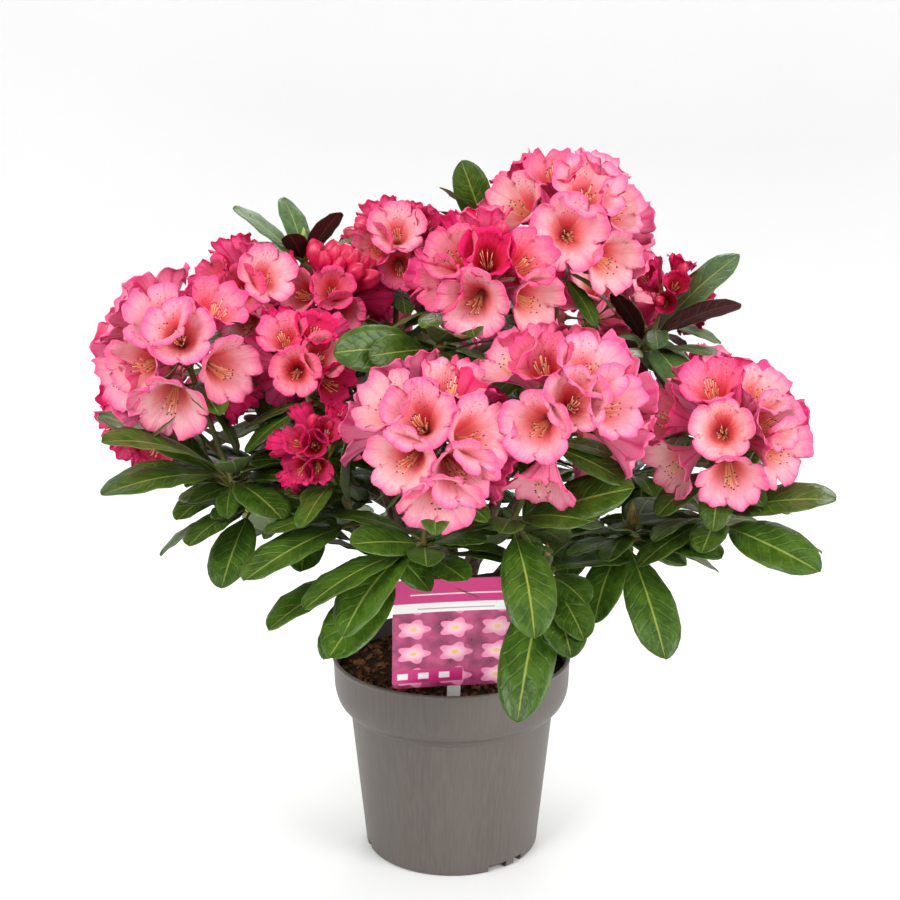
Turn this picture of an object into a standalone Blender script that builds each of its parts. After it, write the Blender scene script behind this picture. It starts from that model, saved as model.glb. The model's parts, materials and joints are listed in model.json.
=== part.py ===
"""A rhododendron in flower, standing in its nursery pot.

Metres, +Z up, -Y is the front. The origin is the middle of the pot's flat underside.
A bearing is in degrees from the front, positive to the right. A rise is in degrees above level.
"""
import math
import random

import bmesh
import bpy
from mathutils import Vector
from mathutils.bvhtree import BVHTree

for leftover in list(bpy.data.objects):
    bpy.data.objects.remove(leftover)

SEED = 7
CLEAR = 0.0003

# The pot is thin turned plastic: a tapered body, a seam, and a wider band up to the rim.
POT_SIDES = 30
POT_HEIGHT = 0.194
POT_RIM_RADIUS = 0.115
POT_SEAM_HEIGHT = 0.139
POT_SEAM_RADIUS = 0.0992
POT_FOOT_RADIUS = 0.0843
POT_WALL = 0.0020
POT_FLOOR = 0.0028
NOTCHES = ((31.3, 0.0205), (48.5, 0.0110))
NOTCH_GROUPS = 3
NOTCH_HEIGHT = 0.0070
NOTCH_DEPTH = 0.0125

# The potting soil fills the pot to a finger's breadth under the rim.
SOIL_EDGE_HEIGHT = 0.1765
SOIL_MIDDLE_HEIGHT = 0.1800
SOIL_FLAT_RADIUS = 0.030
SOIL_CHAMFER = 0.016

# The plant label is a printed card on a flat plastic stick that is pushed into the soil.
LABEL_FOOT = Vector((0.0015, -0.0855, 0.1780))
LABEL_LEAN = 9.0
LABEL_TURN = 8.0
STICK_WIDTH = 0.012
STICK_THICKNESS = 0.0018
STICK_BURIED = 0.055
STICK_ABOVE = 0.085
CARD_WIDTH = 0.114
CARD_HEIGHT = 0.109
CARD_THICKNESS = 0.0010
CARD_CORNER = 0.006
CARD_FOOT = 0.0180

# Trunk and boughs, from the soil up.
TRUNK_FOOT = Vector((0.0, 0.0, SOIL_MIDDLE_HEIGHT + CLEAR))
TRUNK_TOP = Vector((0.012, 0.006, 0.262))
TRUNK_BEND = Vector((-0.004, 0.003, 0.225))
TRUNK_RADII = (0.0125, 0.0100)
TRUNK_FLARE = 0.009
TRUNK_SIDES = 10
TRUNK_STEPS = 6
BOUGH_SIDES = 7
BOUGH_STEPS = 5
BOUGH_RISE = 0.10
BOUGH_SLEEVE = 0.005

# Twigs, leaves and blossom.
STEM_RADIUS = 0.0037
TWIG_RADIUS = 0.0032
TWIG_STEPS = 3
SHOOT_RADIUS = 0.0027
RACHIS_RADIUS = 0.0060
STEM_LENGTH = 0.030
LEAF_WIDTH = 0.37
LEAF_SAG = 0.07
LEAF_THICKNESS = 0.016
LEAF_STATIONS = ((0.15, 0.10), (0.45, 0.97), (0.76, 0.84))
BLOOM_RADIUS = 0.0290
BLOOM_DEPTH = 0.042
BLOOM_FULL_REACH = 0.070
BLOOM_SPACING = 50.0
TRUSS_POINTS = 20
WHORL_TOP = -0.0015
WHORL_GAP = 24.0

POT_COLOUR = (0.185, 0.158, 0.142)
SOIL_COLOUR = (0.045, 0.022, 0.012)
CARD_COLOUR = (0.62, 0.07, 0.24)
STICK_COLOUR = (0.80, 0.80, 0.78)
BARK_COLOUR = (0.10, 0.060, 0.035)
LEAF_COLOUR = (0.045, 0.135, 0.028)
BLOOM_COLOUR = (0.86, 0.17, 0.27)


def shoot(whorl, truss=None, reach=0.070, blooms=(), leaves=(), more=5, rise=-8, length=0.10):
    """One shoot: the place its leaves spring from, its truss of blossom, and what is seen of both.

    A bloom is a bearing and a rise. A leaf is a bearing, a rise, a length in millimetres and, where
    it is rolled far about its midrib, the degrees of that.
    more is how many further leaves fill the whorl, at about the given rise and length.
    """
    centre = Vector(truss) if truss else None
    return dict(whorl=Vector(whorl), truss=centre, reach=reach, blooms=blooms, leaves=leaves,
                more=more, rise=rise, length=length)


MASSES = {
    "mass_top": dict(hub=(0.072, 0.036, 0.415), shoots=(
        shoot((0.095, 0.030, 0.480), (0.102, 0.020, 0.590), 0.082,
              blooms=((-44, 29), (0, 9), (19, 41), (44, 25), (33, -12), (-18, 59), (-96, 55), (64, 61)),
              more=8, rise=-2),
        shoot((0.034, 0.100, 0.585), more=3, rise=30, length=0.075,
              leaves=((-53, 65, 85, -105), (-54, 42, 75), (-50, 25, 70))),
        shoot((0.066, 0.010, 0.440), more=6, rise=-4, length=0.10))),
    "mass_heart": dict(hub=(0.002, -0.038, 0.430), shoots=(
        shoot((-0.010, -0.066, 0.508), (0.032, -0.050, 0.556), 0.068,
              blooms=((-37, 32), (-2, 33), (39, 27), (-13, -8), (40, -8), (-41, 6)),
              leaves=((-58, 6, 100, -70), (-46, 2, 75, -60), (12, 18, 80)), more=3, rise=0),
        shoot((-0.015, -0.040, 0.450), more=5, rise=5, length=0.09))),
    "mass_high_left": dict(hub=(-0.085, 0.048, 0.425), shoots=(
        shoot((-0.110, 0.028, 0.455), (-0.114, 0.030, 0.531), 0.056,
              blooms=((8, 20), (46, 62), (15, -7), (-118, 80), (-31, 16)), more=6, rise=-4, length=0.09),
        shoot((-0.055, 0.085, 0.490), (-0.052, 0.090, 0.567), 0.056,
              blooms=((-25, 16), (1, 35), (4, -9), (29, -24), (49, 41)), more=7, rise=0, length=0.09),
        shoot((-0.141, 0.060, 0.564), more=2, rise=20, length=0.07,
              leaves=((-149, 56, 75), (-63, 41, 95, -25), (-12, 36, 55), (54, 47, 70, -10))))),
    "mass_left": dict(hub=(-0.160, -0.022, 0.372), shoots=(
        shoot((-0.198, -0.070, 0.385), (-0.236, -0.060, 0.495), 0.074,
              blooms=((6, 26), (42, -4), (-5, -31), (-28, 2), (52, 48), (-14, 38), (-50, -14), (82, -40)),
              leaves=((-47, 3, 130), (-51, 23, 135), (-114, 22, 150), (-1, -22, 50)), more=5),
        shoot((-0.178, 0.018, 0.462), (-0.186, 0.020, 0.538), 0.056,
              blooms=((26, 27), (-3, 13), (-40, 23), (1, -31)), more=6, rise=4, length=0.09),
        shoot((-0.183, -0.058, 0.350), more=5, rise=-14, length=0.095,
              leaves=((-32, -8, 95), (-12, -30, 95), (20, 11, 50))))),
    "mass_mid_left": dict(hub=(-0.084, -0.090, 0.342), shoots=(
        shoot((-0.115, -0.068, 0.410), (-0.134, -0.070, 0.485), 0.056,
              blooms=((2, 7), (-17, 46), (33, 51), (30, 21), (42, -8)), more=5, rise=-4, length=0.08),
        shoot((-0.087, -0.126, 0.368), (-0.115, -0.120, 0.423), 0.042,
              blooms=((1, 21), (-24, 25), (30, 24), (-19, -14), (14, -20)),
              leaves=((-42, -11, 125), (6, 69, 110, 75), (-128, -7, 90)), more=3, rise=-20, length=0.09))),
    "mass_front_left": dict(hub=(-0.020, -0.100, 0.302), shoots=(
        shoot((-0.024, -0.150, 0.351), (-0.016, -0.170, 0.441), 0.070,
              blooms=((-49, 40), (-11, 32), (-21, -1), (36, 63), (7, -35), (22, -11), (37, 16), (90, 54)),
              leaves=((-43, 12, 85, -35), (-35, -24, 125), (-46, -9, 135)), more=3, rise=-20),
        shoot((-0.046, -0.096, 0.305), more=2, rise=-30, length=0.09,
              leaves=((-52, -8, 145), (-37, -26, 115), (-20, -41, 125), (-78, -18, 110))))),
    "mass_front_right": dict(hub=(0.060, -0.086, 0.300), shoots=(
        shoot((0.054, -0.130, 0.366), (0.090, -0.150, 0.460), 0.075,
              blooms=((-20, 3), (7, 22), (-26, 53), (37, 18), (-26, -53), (27, 45)),
              leaves=((12, -34, 120), (57, 22, 125, 38), (41, 9, 90, 20)), more=3, rise=-20),
        shoot((0.085, -0.080, 0.297), more=2, rise=-20, length=0.08,
              leaves=((-14, -38, 150), (22, -21, 90), (13, -27, 100), (26, -1, 80), (-45, 18, 60))))),
    "mass_right": dict(hub=(0.155, -0.034, 0.312), shoots=(
        shoot((0.240, -0.064, 0.350), (0.243, -0.070, 0.425), 0.070,
              blooms=((-33, 57), (-78, 19), (-13, 16), (-62, -21), (-4, -27), (36, 21), (42, -5), (37, 48)),
              leaves=((40, -10, 115, 35), (46, 18, 125, 20), (-17, -12, 75), (150, 56, 150), (144, 45, 140),
                      (130, 26, 120)), more=3, rise=-5),
        shoot((0.166, -0.040, 0.325), more=4, rise=-14, length=0.09,
              leaves=((-27, -33, 100), (13, -38, 130), (46, 2, 105), (-47, -1, 75))))),
    "mass_high_right": dict(hub=(0.132, 0.094, 0.405), shoots=(
        shoot((0.191, 0.082, 0.482), (0.212, 0.100, 0.522), 0.044,
              blooms=((5, 32), (-2, -19), (-53, 40)),
              leaves=((85, 45, 125, 14), (58, 26, 105, -28), (53, 2, 80), (-57, 55, 70), (-65, 1, 40, -60),
                      (-16, -53, 65, 165), (135, -49, 70)), more=2),
        shoot((0.130, 0.155, 0.410), (0.145, 0.180, 0.490), 0.070, more=8, rise=-4))),
    "mass_back": dict(hub=(-0.010, 0.150, 0.375), shoots=(
        shoot((-0.024, 0.180, 0.430), (-0.030, 0.200, 0.510), 0.070, more=8, rise=-4),
        shoot((0.020, 0.215, 0.345), (0.030, 0.285, 0.400), 0.070, more=8, rise=-16),
        shoot((-0.004, 0.160, 0.300), more=8, rise=-18))),
    "mass_back_left": dict(hub=(-0.140, 0.112, 0.350), shoots=(
        shoot((-0.155, 0.145, 0.395), (-0.172, 0.175, 0.470), 0.070, more=8, rise=-4),
        shoot((-0.215, 0.080, 0.355), (-0.280, 0.085, 0.420), 0.068, more=8, rise=-12),
        shoot((-0.110, 0.190, 0.330), more=8, rise=-6),
        shoot((-0.150, 0.110, 0.300), more=6, rise=-20))),
    "mass_back_right": dict(hub=(0.140, 0.126, 0.325), shoots=(
        shoot((0.200, 0.140, 0.335), (0.265, 0.155, 0.395), 0.068, more=8, rise=-12),
        shoot((0.140, 0.195, 0.325), more=8, rise=-6),
        shoot((0.145, 0.120, 0.285), more=7, rise=-20))),
}

# Each bough: what it grows from, how far along that it leaves, and its thickness there.
BOUGHS = (
    ("top", "trunk", 1.00, 0.0088),
    ("left", "trunk", 0.74, 0.0064),
    ("front_left", "trunk", 0.87, 0.0060),
    ("right", "trunk", 0.50, 0.0064),
    ("back", "trunk", 0.62, 0.0062),
    ("back_right", "trunk", 0.36, 0.0060),
    ("heart", "top", 0.46, 0.0056),
    ("high_right", "top", 0.24, 0.0056),
    ("high_left", "left", 0.34, 0.0054),
    ("mid_left", "left", 0.62, 0.0048),
    ("front_right", "front_left", 0.36, 0.0050),
    ("back_left", "back", 0.34, 0.0056),
)
BOUGH_TIP_RADIUS = 0.0042


def heading(bearing, rise):
    turn, lift = math.radians(bearing), math.radians(rise)
    level = math.cos(lift)
    return Vector((math.sin(turn) * level, -math.cos(turn) * level, math.sin(lift)))


def bend(start, middle, end, steps):
    """Points on one smooth bend from start to end, drawn towards middle."""
    points = []
    for step in range(steps + 1):
        t = step / steps
        points.append(start * (1 - t) ** 2 + middle * 2 * t * (1 - t) + end * t ** 2)
    return points


def tube(points, radii, sides):
    """A closed round limb along points, with flat ends."""
    across = (points[1] - points[0]).orthogonal().normalized()
    verts, faces = [], []
    for index, point in enumerate(points):
        before, after = points[max(index - 1, 0)], points[min(index + 1, len(points) - 1)]
        along = (after - before).normalized()
        across = (across - along * across.dot(along)).normalized()
        other = along.cross(across)
        for side in range(sides):
            angle = 2 * math.pi * side / sides
            verts.append(point + (across * math.cos(angle) + other * math.sin(angle)) * radii[index])
    for ring in range(len(points) - 1):
        for side in range(sides):
            a, b = ring * sides + side, ring * sides + (side + 1) % sides
            faces.append((a, b, b + sides, a + sides))
    last = (len(points) - 1) * sides
    faces.append(tuple(reversed(range(sides))))
    faces.append(tuple(range(last, last + sides)))
    return verts, faces


def taper(first, last, count):
    return [first + (last - first) * step / (count - 1) for step in range(count)]


def turned(profile, sides):
    """A shape turned round Z from points of radius and height. Points on the axis are poles."""
    verts, faces, rings = [], [], []
    for radius, height in profile:
        if radius == 0:
            rings.append([len(verts)] * sides)
            verts.append(Vector((0, 0, height)))
            continue
        rings.append(list(range(len(verts), len(verts) + sides)))
        for side in range(sides):
            angle = 2 * math.pi * side / sides
            verts.append(Vector((radius * math.cos(angle), radius * math.sin(angle), height)))
    for lower, upper in zip(rings, rings[1:]):
        for side in range(sides):
            after = (side + 1) % sides
            corners = (lower[side], lower[after], upper[after], upper[side])
            faces.append(tuple(dict.fromkeys(corners)))
    return verts, faces


def slab(width, height, thickness, foot, corner=0.0):
    """A flat plate on X and Z from foot upwards, round its corners where corner is given."""
    outline = []
    centres = ((1, 1), (-1, 1), (-1, -1), (1, -1))
    for quarter, (right, up) in enumerate(centres):
        for step in range(4 if corner else 1):
            angle = math.radians(90 * quarter + 30 * step)
            x = right * (width / 2 - corner) + corner * math.cos(angle)
            z = foot + height / 2 + up * (height / 2 - corner) + corner * math.sin(angle)
            outline.append((x, z))
    count = len(outline)
    verts = [Vector((x, -thickness / 2, z)) for x, z in outline]
    verts += [Vector((x, thickness / 2, z)) for x, z in outline]
    faces = [tuple(range(count)), tuple(reversed(range(count, 2 * count)))]
    for here in range(count):
        after = (here + 1) % count
        faces.append((here, here + count, after + count, after))
    return verts, faces


def leaf_form(root, bearing, rise, length, roll=0.0, spare=0.0):
    """A leaf on its stalk: flat above, widest past its middle, with a thick rib below."""
    along = heading(bearing, rise)
    upper = heading(bearing + 180, 90 - rise)
    side = along.cross(upper)
    tilt = math.radians(roll)
    upper, side = upper * math.cos(tilt) + side * math.sin(tilt), side * math.cos(tilt) - upper * math.sin(tilt)
    half = length * LEAF_WIDTH / 2 + spare
    thick = length * LEAF_THICKNESS + spare
    verts, faces = [root.copy()], []
    for share, swell in LEAF_STATIONS:
        spine = root + along * length * share + upper * length * LEAF_SAG * 4 * share * (1 - share)
        verts += [spine - side * half * swell + upper * spare, spine + side * half * swell + upper * spare,
                  spine - upper * thick]
    tip = len(verts)
    verts.append(root + along * (length + spare))
    for corner in range(3):
        after = (corner + 1) % 3
        faces.append((0, 1 + after, 1 + corner))
        for ring in range(1, tip - 3, 3):
            faces.append((ring + corner, ring + after, ring + 3 + after, ring + 3 + corner))
        faces.append((tip, tip - 3 + corner, tip - 3 + after))
    return verts, faces


def bloom_form(centre, facing, reach, spare=0.0):
    """A bloom on its stalk: a funnel with five lobes, hollowed at the mouth."""
    size = min(1.0, reach / BLOOM_FULL_REACH)
    depth, radius = BLOOM_DEPTH * size, BLOOM_RADIUS * size + spare
    upward = Vector((0, 0, 1)) - facing * facing.z
    if upward.length < 0.05:
        upward = Vector((0, 1, 0)) - facing * facing.y
    upward.normalize()
    side = upward.cross(facing)

    def around(distance, angle, wide):
        turn = math.radians(angle)
        return centre + facing * distance + (upward * math.cos(turn) + side * math.sin(turn)) * wide

    verts = [centre.copy()]
    verts += [around(reach - depth, 72 * lobe, 0.0042 + spare) for lobe in range(5)]
    verts += [around(reach, 72 * lobe, radius) for lobe in range(5)]
    verts.append(centre + facing * (reach - depth * 0.42))
    faces = []
    for lobe in range(5):
        after = (lobe + 1) % 5
        faces.append((0, 1 + after, 1 + lobe))
        faces.append((1 + lobe, 1 + after, 6 + after, 6 + lobe))
        faces.append((11, 6 + lobe, 6 + after))
    return verts, faces


def reach_box(form):
    corners = [[vert[axis] for vert in form[0]] for axis in range(3)]
    return [min(values) for values in corners], [max(values) for values in corners]


class Room:
    """What already stands in the crown, so that nothing new touches it."""

    def __init__(self):
        self.taken = []

    def add(self, form, mass, part, kind):
        self.taken.append((reach_box(form), BVHTree.FromPolygons(*form), mass, part, kind))

    def free(self, form, mass, part, kind):
        low, high = reach_box(form)
        tree = BVHTree.FromPolygons(*form)
        for (other_low, other_high), other, its_mass, its_part, its_kind in self.taken:
            if its_mass == mass and (its_kind == "wood" or (its_part, its_kind) == (part, kind)):
                continue
            if any(low[a] > other_high[a] or high[a] < other_low[a] for a in range(3)):
                continue
            if tree.overlap(other):
                return False
        return True


def material(name, colour, roughness):
    made = bpy.data.materials.new(name)
    made.use_nodes = True
    shader = made.node_tree.nodes["Principled BSDF"]
    shader.inputs["Base Color"].default_value = (*colour, 1)
    shader.inputs["Roughness"].default_value = roughness
    shader.inputs["Metallic"].default_value = 0.0
    return made


def solid(name, form, finish, home=None):
    mesh = bpy.data.meshes.new(name)
    mesh.from_pydata([tuple(vert) for vert in form[0]], [], form[1])
    mesh.materials.append(finish)
    thing = bpy.data.objects.new(name, mesh)
    (home or bpy.context.scene.collection).objects.link(thing)
    return thing


def combine(thing, operation, forms, finishes):
    """Join forms to thing, or cut them from it, and leave the one body that is outermost."""
    tools = bpy.data.collections.new(thing.name + "_tools")
    bpy.context.scene.collection.children.link(tools)
    for number, (form, finish) in enumerate(zip(forms, finishes)):
        solid(f"{thing.name}_tool_{number}", form, finish, tools)
    modifier = thing.modifiers.new("combine", "BOOLEAN")
    modifier.operation = operation
    modifier.solver = "EXACT"
    modifier.material_mode = "TRANSFER"
    modifier.operand_type = "COLLECTION"
    modifier.collection = tools
    scene_state = bpy.context.evaluated_depsgraph_get()
    result = bpy.data.meshes.new_from_object(thing.evaluated_get(scene_state))
    thing.modifiers.clear()
    for tool in list(tools.objects):
        bpy.data.objects.remove(tool)
    bpy.data.collections.remove(tools)
    thing.data = result
    keep_outermost(result)


def keep_outermost(mesh):
    work = bmesh.new()
    work.from_mesh(mesh)
    waiting, bodies = set(work.verts), []
    while waiting:
        body, edge = set(), [waiting.pop()]
        while edge:
            vert = edge.pop()
            body.add(vert)
            near = {link.other_vert(vert) for link in vert.link_edges} & waiting
            waiting -= near
            edge.extend(near)
        bodies.append(body)

    def spread(body):
        return sum(max(v.co[a] for v in body) - min(v.co[a] for v in body) for a in range(3))

    bodies.sort(key=spread)
    scraps = [vert for body in bodies[:-1] for vert in body]
    bmesh.ops.delete(work, geom=scraps, context="VERTS")
    work.to_mesh(mesh)
    work.free()


def round_shading(thing):
    thing.data.shade_smooth()
    thing.data.set_sharp_from_angle(angle=math.radians(35))


def pot_outside():
    """Radius and height up the outside of the pot, from the foot's edge to the rim."""
    foot = POT_FOOT_RADIUS
    seam, height = POT_SEAM_RADIUS, POT_SEAM_HEIGHT
    points = [(foot - 0.0035, 0.0), (foot - 0.0008, 0.0012), (foot, 0.0040), (seam - 0.0012, height - 0.0015),
              (seam, height)]
    for step in range(1, 4):
        turn = math.radians(30 * step)
        points.append((seam + 0.0142 * math.sin(turn), height + 0.004 + 0.028 * (1 - math.cos(turn))))
    points += [(POT_RIM_RADIUS - 0.0004, POT_HEIGHT - 0.0030), (POT_RIM_RADIUS, POT_HEIGHT - 0.0020),
               (POT_RIM_RADIUS - 0.0005, POT_HEIGHT)]
    return points


def pot_inside(gap=0.0):
    """The same up the inside, from the floor to the rim, drawn in further by gap."""
    outside = pot_outside()
    points = [(outside[2][0] - POT_WALL - gap, POT_FLOOR + 0.002)]
    for radius, height in outside[3:-3]:
        points.append((radius - POT_WALL - gap, height))
    points.append((POT_RIM_RADIUS - 0.0026 - gap, POT_HEIGHT))
    return points


def wall_at(height, gap):
    points = pot_inside(gap)
    for (r0, z0), (r1, z1) in zip(points, points[1:]):
        if z0 <= height <= z1:
            return r0 + (r1 - r0) * (height - z0) / (z1 - z0)
    return points[-1][0]


def make_pot():
    profile = [(0, 0)] + pot_outside() + pot_inside()[::-1]
    profile += [(POT_FOOT_RADIUS - POT_WALL - 0.004, POT_FLOOR), (0, POT_FLOOR)]
    pot = solid("pot", turned(profile, POT_SIDES), material("pot plastic", POT_COLOUR, 0.45))
    notches = []
    middle = POT_FOOT_RADIUS + 0.003 - NOTCH_DEPTH / 2
    for group in range(NOTCH_GROUPS):
        for first, width in NOTCHES:
            out = heading(first + 360 / NOTCH_GROUPS * group, 0)
            across = Vector((-out.y, out.x, 0))
            verts, faces = slab(width, NOTCH_HEIGHT + 0.003, NOTCH_DEPTH, -0.003)
            verts = [out * (middle + v.y) + across * v.x + Vector((0, 0, v.z)) for v in verts]
            notches.append((verts, [tuple(reversed(face)) for face in faces]))
    combine(pot, "DIFFERENCE", notches, [pot.data.materials[0]] * len(notches))
    round_shading(pot)
    return pot


def label_place(point):
    """From the label's own frame, foot at the origin, to its place in the pot."""
    turn, lean = math.radians(LABEL_TURN), math.radians(LABEL_LEAN)
    y = point.y * math.cos(lean) - point.z * math.sin(lean)
    z = point.y * math.sin(lean) + point.z * math.cos(lean)
    x, y = point.x * math.cos(turn) - y * math.sin(turn), point.x * math.sin(turn) + y * math.cos(turn)
    return LABEL_FOOT + Vector((x, y, z))


def stick_form(grow=0.0):
    verts, faces = slab(STICK_WIDTH + 2 * grow, STICK_BURIED + STICK_ABOVE + 2 * grow,
                        STICK_THICKNESS + 2 * grow, -STICK_BURIED - grow)
    return [label_place(vert) for vert in verts], faces


def card_form():
    verts, faces = slab(CARD_WIDTH, CARD_HEIGHT, CARD_THICKNESS, CARD_FOOT, CARD_CORNER)
    forward = (STICK_THICKNESS + CARD_THICKNESS) / 2 + CLEAR
    return [label_place(vert - Vector((0, forward, 0))) for vert in verts], faces


def make_soil():
    edge = wall_at(SOIL_EDGE_HEIGHT, CLEAR)
    profile = [(0, POT_FLOOR + CLEAR), (0.066, POT_FLOOR + CLEAR), (wall_at(SOIL_CHAMFER, CLEAR), SOIL_CHAMFER)]
    profile += [point for point in pot_inside(CLEAR) if SOIL_CHAMFER < point[1] < SOIL_EDGE_HEIGHT]
    profile += [(edge, SOIL_EDGE_HEIGHT), (SOIL_FLAT_RADIUS, SOIL_MIDDLE_HEIGHT), (0, SOIL_MIDDLE_HEIGHT)]
    soil = solid("soil", turned(profile, POT_SIDES), material("potting soil", SOIL_COLOUR, 0.95))
    combine(soil, "DIFFERENCE", [stick_form(CLEAR)], [soil.data.materials[0]])
    return soil


def trunk_form(grow=0.0):
    points = bend(TRUNK_FOOT, TRUNK_BEND, TRUNK_TOP, TRUNK_STEPS)
    radii = taper(*TRUNK_RADII, len(points))
    verts, faces = tube(points, [radius + grow for radius in radii], TRUNK_SIDES)
    for index, vert in enumerate(verts):
        ring, side = divmod(index, TRUNK_SIDES)
        above = vert.z - TRUNK_FOOT.z
        angle = 2 * math.pi * side / TRUNK_SIDES
        flare = TRUNK_FLARE * math.exp(-above / 0.011) * (0.75 + 0.25 * math.cos(3 * angle))
        away = vert - points[ring]
        away.z = 0
        vert += away.normalized() * flare
        if ring == 0:
            vert.z = TRUNK_FOOT.z
    return verts, faces


def plan_boughs():
    """Each bough's middle line and radii, from the limb it leaves to just under its mass."""
    routes = {"trunk": (bend(TRUNK_FOOT, TRUNK_BEND, TRUNK_TOP, 20), taper(*TRUNK_RADII, 21))}
    for name, parent, share, radius in BOUGHS:
        line, _ = routes[parent]
        place = share * (len(line) - 1)
        first = min(int(place), len(line) - 2)
        start = line[first].lerp(line[first + 1], place - first)
        along = (line[first + 1] - line[first]).normalized()
        hub = Vector(MASSES["mass_" + name]["hub"])
        if share == 1.0:
            start = start + along * (CLEAR + BOUGH_SLEEVE)
        middle = start.lerp(hub, 0.5) + along * BOUGH_RISE * (hub - start).length
        whole = bend(start, middle, hub, 24)
        length = 0.0
        for back in range(24, 0, -1):
            length += (whole[back] - whole[back - 1]).length
            if length >= STEM_LENGTH:
                break
        tip = whole[back - 1]
        t = (back - 1) / 24
        route = bend(start, start.lerp(middle, t), tip, BOUGH_STEPS)
        if share == 1.0:
            route.insert(0, start - along * BOUGH_SLEEVE)
        routes[name] = (route, taper(radius, BOUGH_TIP_RADIUS, len(route)))
        towards = (route[-1] - route[-2]).normalized()
        MASSES["mass_" + name]["stem"] = tip + towards * CLEAR
        MASSES["mass_" + name]["onward"] = towards
    return routes


def limb_form(routes, name, grow=0.0):
    points, radii = routes[name]
    return tube(points, [radius + grow for radius in radii], BOUGH_SIDES)


def make_wood(room, routes):
    bark = material("bark", BARK_COLOUR, 0.85)
    solid("trunk", trunk_form(), bark)
    room.add(trunk_form(CLEAR), "trunk", 0, "limb")
    for name, parent, share, _ in BOUGHS:
        bough = solid("bough_" + name, limb_form(routes, name), bark)
        if share < 1.0:
            wider = 1.3 * CLEAR
            parent_form = trunk_form(wider) if parent == "trunk" else limb_form(routes, parent, wider)
            combine(bough, "DIFFERENCE", [parent_form], [bark])
        round_shading(bough)
        room.add(limb_form(routes, name, 2 * CLEAR), "bough_" + name, 0, "limb")


def plan_twigs(mass):
    """The stem and the twigs of a mass: one twig to each shoot, and on through its truss."""
    hub, stem = Vector(mass["hub"]), mass["stem"]
    straight = stem + mass["onward"] * BOUGH_SLEEVE
    line = [stem, straight, straight.lerp(hub, 0.5), hub]
    forms = [tube(line, [BOUGH_TIP_RADIUS, BOUGH_TIP_RADIUS, STEM_RADIUS, STEM_RADIUS], BOUGH_SIDES)]
    start = stem.lerp(hub, 0.8)
    onward = (hub - stem).normalized()
    for growth in mass["shoots"]:
        whorl, centre = growth["whorl"], growth["truss"]
        middle = start.lerp(whorl, 0.5) + onward * 0.25 * (whorl - start).length
        line = bend(start, middle, whorl, TWIG_STEPS)
        forms.append(tube(line, taper(TWIG_RADIUS, SHOOT_RADIUS, TWIG_STEPS + 1), 3))
        axis = growth["axis"] = (centre - whorl if centre else line[-1] - line[-2]).normalized()
        if centre:
            line = [whorl - axis * 0.003, centre - axis * 0.016, centre - axis * 0.005, centre + axis * 0.005]
            forms.append(tube(line, [SHOOT_RADIUS, SHOOT_RADIUS, RACHIS_RADIUS, RACHIS_RADIUS], 4))
    return forms


def nudges():
    """Small changes of bearing, rise and length that are tried until a leaf or bloom fits."""
    for shrink in (1.0, 0.88):
        for rise in (0, 7, -7, 14, -14, 22, -22):
            for bearing in (0, 9, -9):
                yield bearing, rise, shrink


def set_leaf(room, name, part, growth, wanted, dice):
    bearing, rise, length, tilt = wanted
    back = dice.uniform(-0.010, 0.002)
    root = growth["whorl"] + growth["axis"] * (back if growth["truss"] else min(back, WHORL_TOP))
    roll = tilt + dice.uniform(-14, 14)
    for turn, lift, shrink in nudges():
        leaf = (root, bearing + turn, rise + lift, length * shrink, roll)
        if room.free(leaf_form(*leaf, spare=2 * CLEAR), name, part, "leaf"):
            room.add(leaf_form(*leaf), name, part, "leaf")
            return leaf
    return None


def set_bloom(room, name, part, growth, wanted):
    bearing, rise = wanted
    for turn, lift, shrink in nudges():
        bloom = (growth["truss"], heading(bearing + turn, rise + lift), growth["reach"] * shrink)
        if room.free(bloom_form(*bloom, spare=2 * CLEAR), name, part, "bloom"):
            room.add(bloom_form(*bloom), name, part, "bloom")
            return bloom
    return None


def whorl_bearings(leaves, more, dice):
    """Bearings for further leaves, a golden angle apart and clear of those already there."""
    taken = [leaf[0] for leaf in leaves]
    bearing = dice.uniform(0, 360)
    found = []
    for _ in range(60):
        if len(found) == more:
            break
        bearing = (bearing + 137.5) % 360
        if all(abs((bearing - other + 180) % 360 - 180) > WHORL_GAP for other in taken):
            taken.append(bearing)
            found.append(bearing)
    return found


def truss_directions(growth):
    """Further directions for blooms, spread evenly over the truss where none is seen."""
    axis = (growth["truss"] - growth["whorl"]).normalized()
    outward = (growth["truss"] - Vector((0, 0, 0.36))).normalized()
    taken = [heading(*bloom) for bloom in growth["blooms"]]
    spacing = BLOOM_SPACING * min(1.0, BLOOM_FULL_REACH / growth["reach"])
    found = []
    for point in range(TRUSS_POINTS):
        height = 1 - 2 * (point + 0.5) / TRUSS_POINTS
        angle = math.radians(137.5 * point)
        level = math.sqrt(1 - height * height)
        facing = Vector((level * math.cos(angle), level * math.sin(angle), height))
        if facing.dot(axis) < -0.55 or facing.dot(outward) < -0.45:
            continue
        if all(math.degrees(facing.angle(other)) > spacing for other in taken):
            taken.append(facing)
            found.append(facing)
    return found


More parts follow.
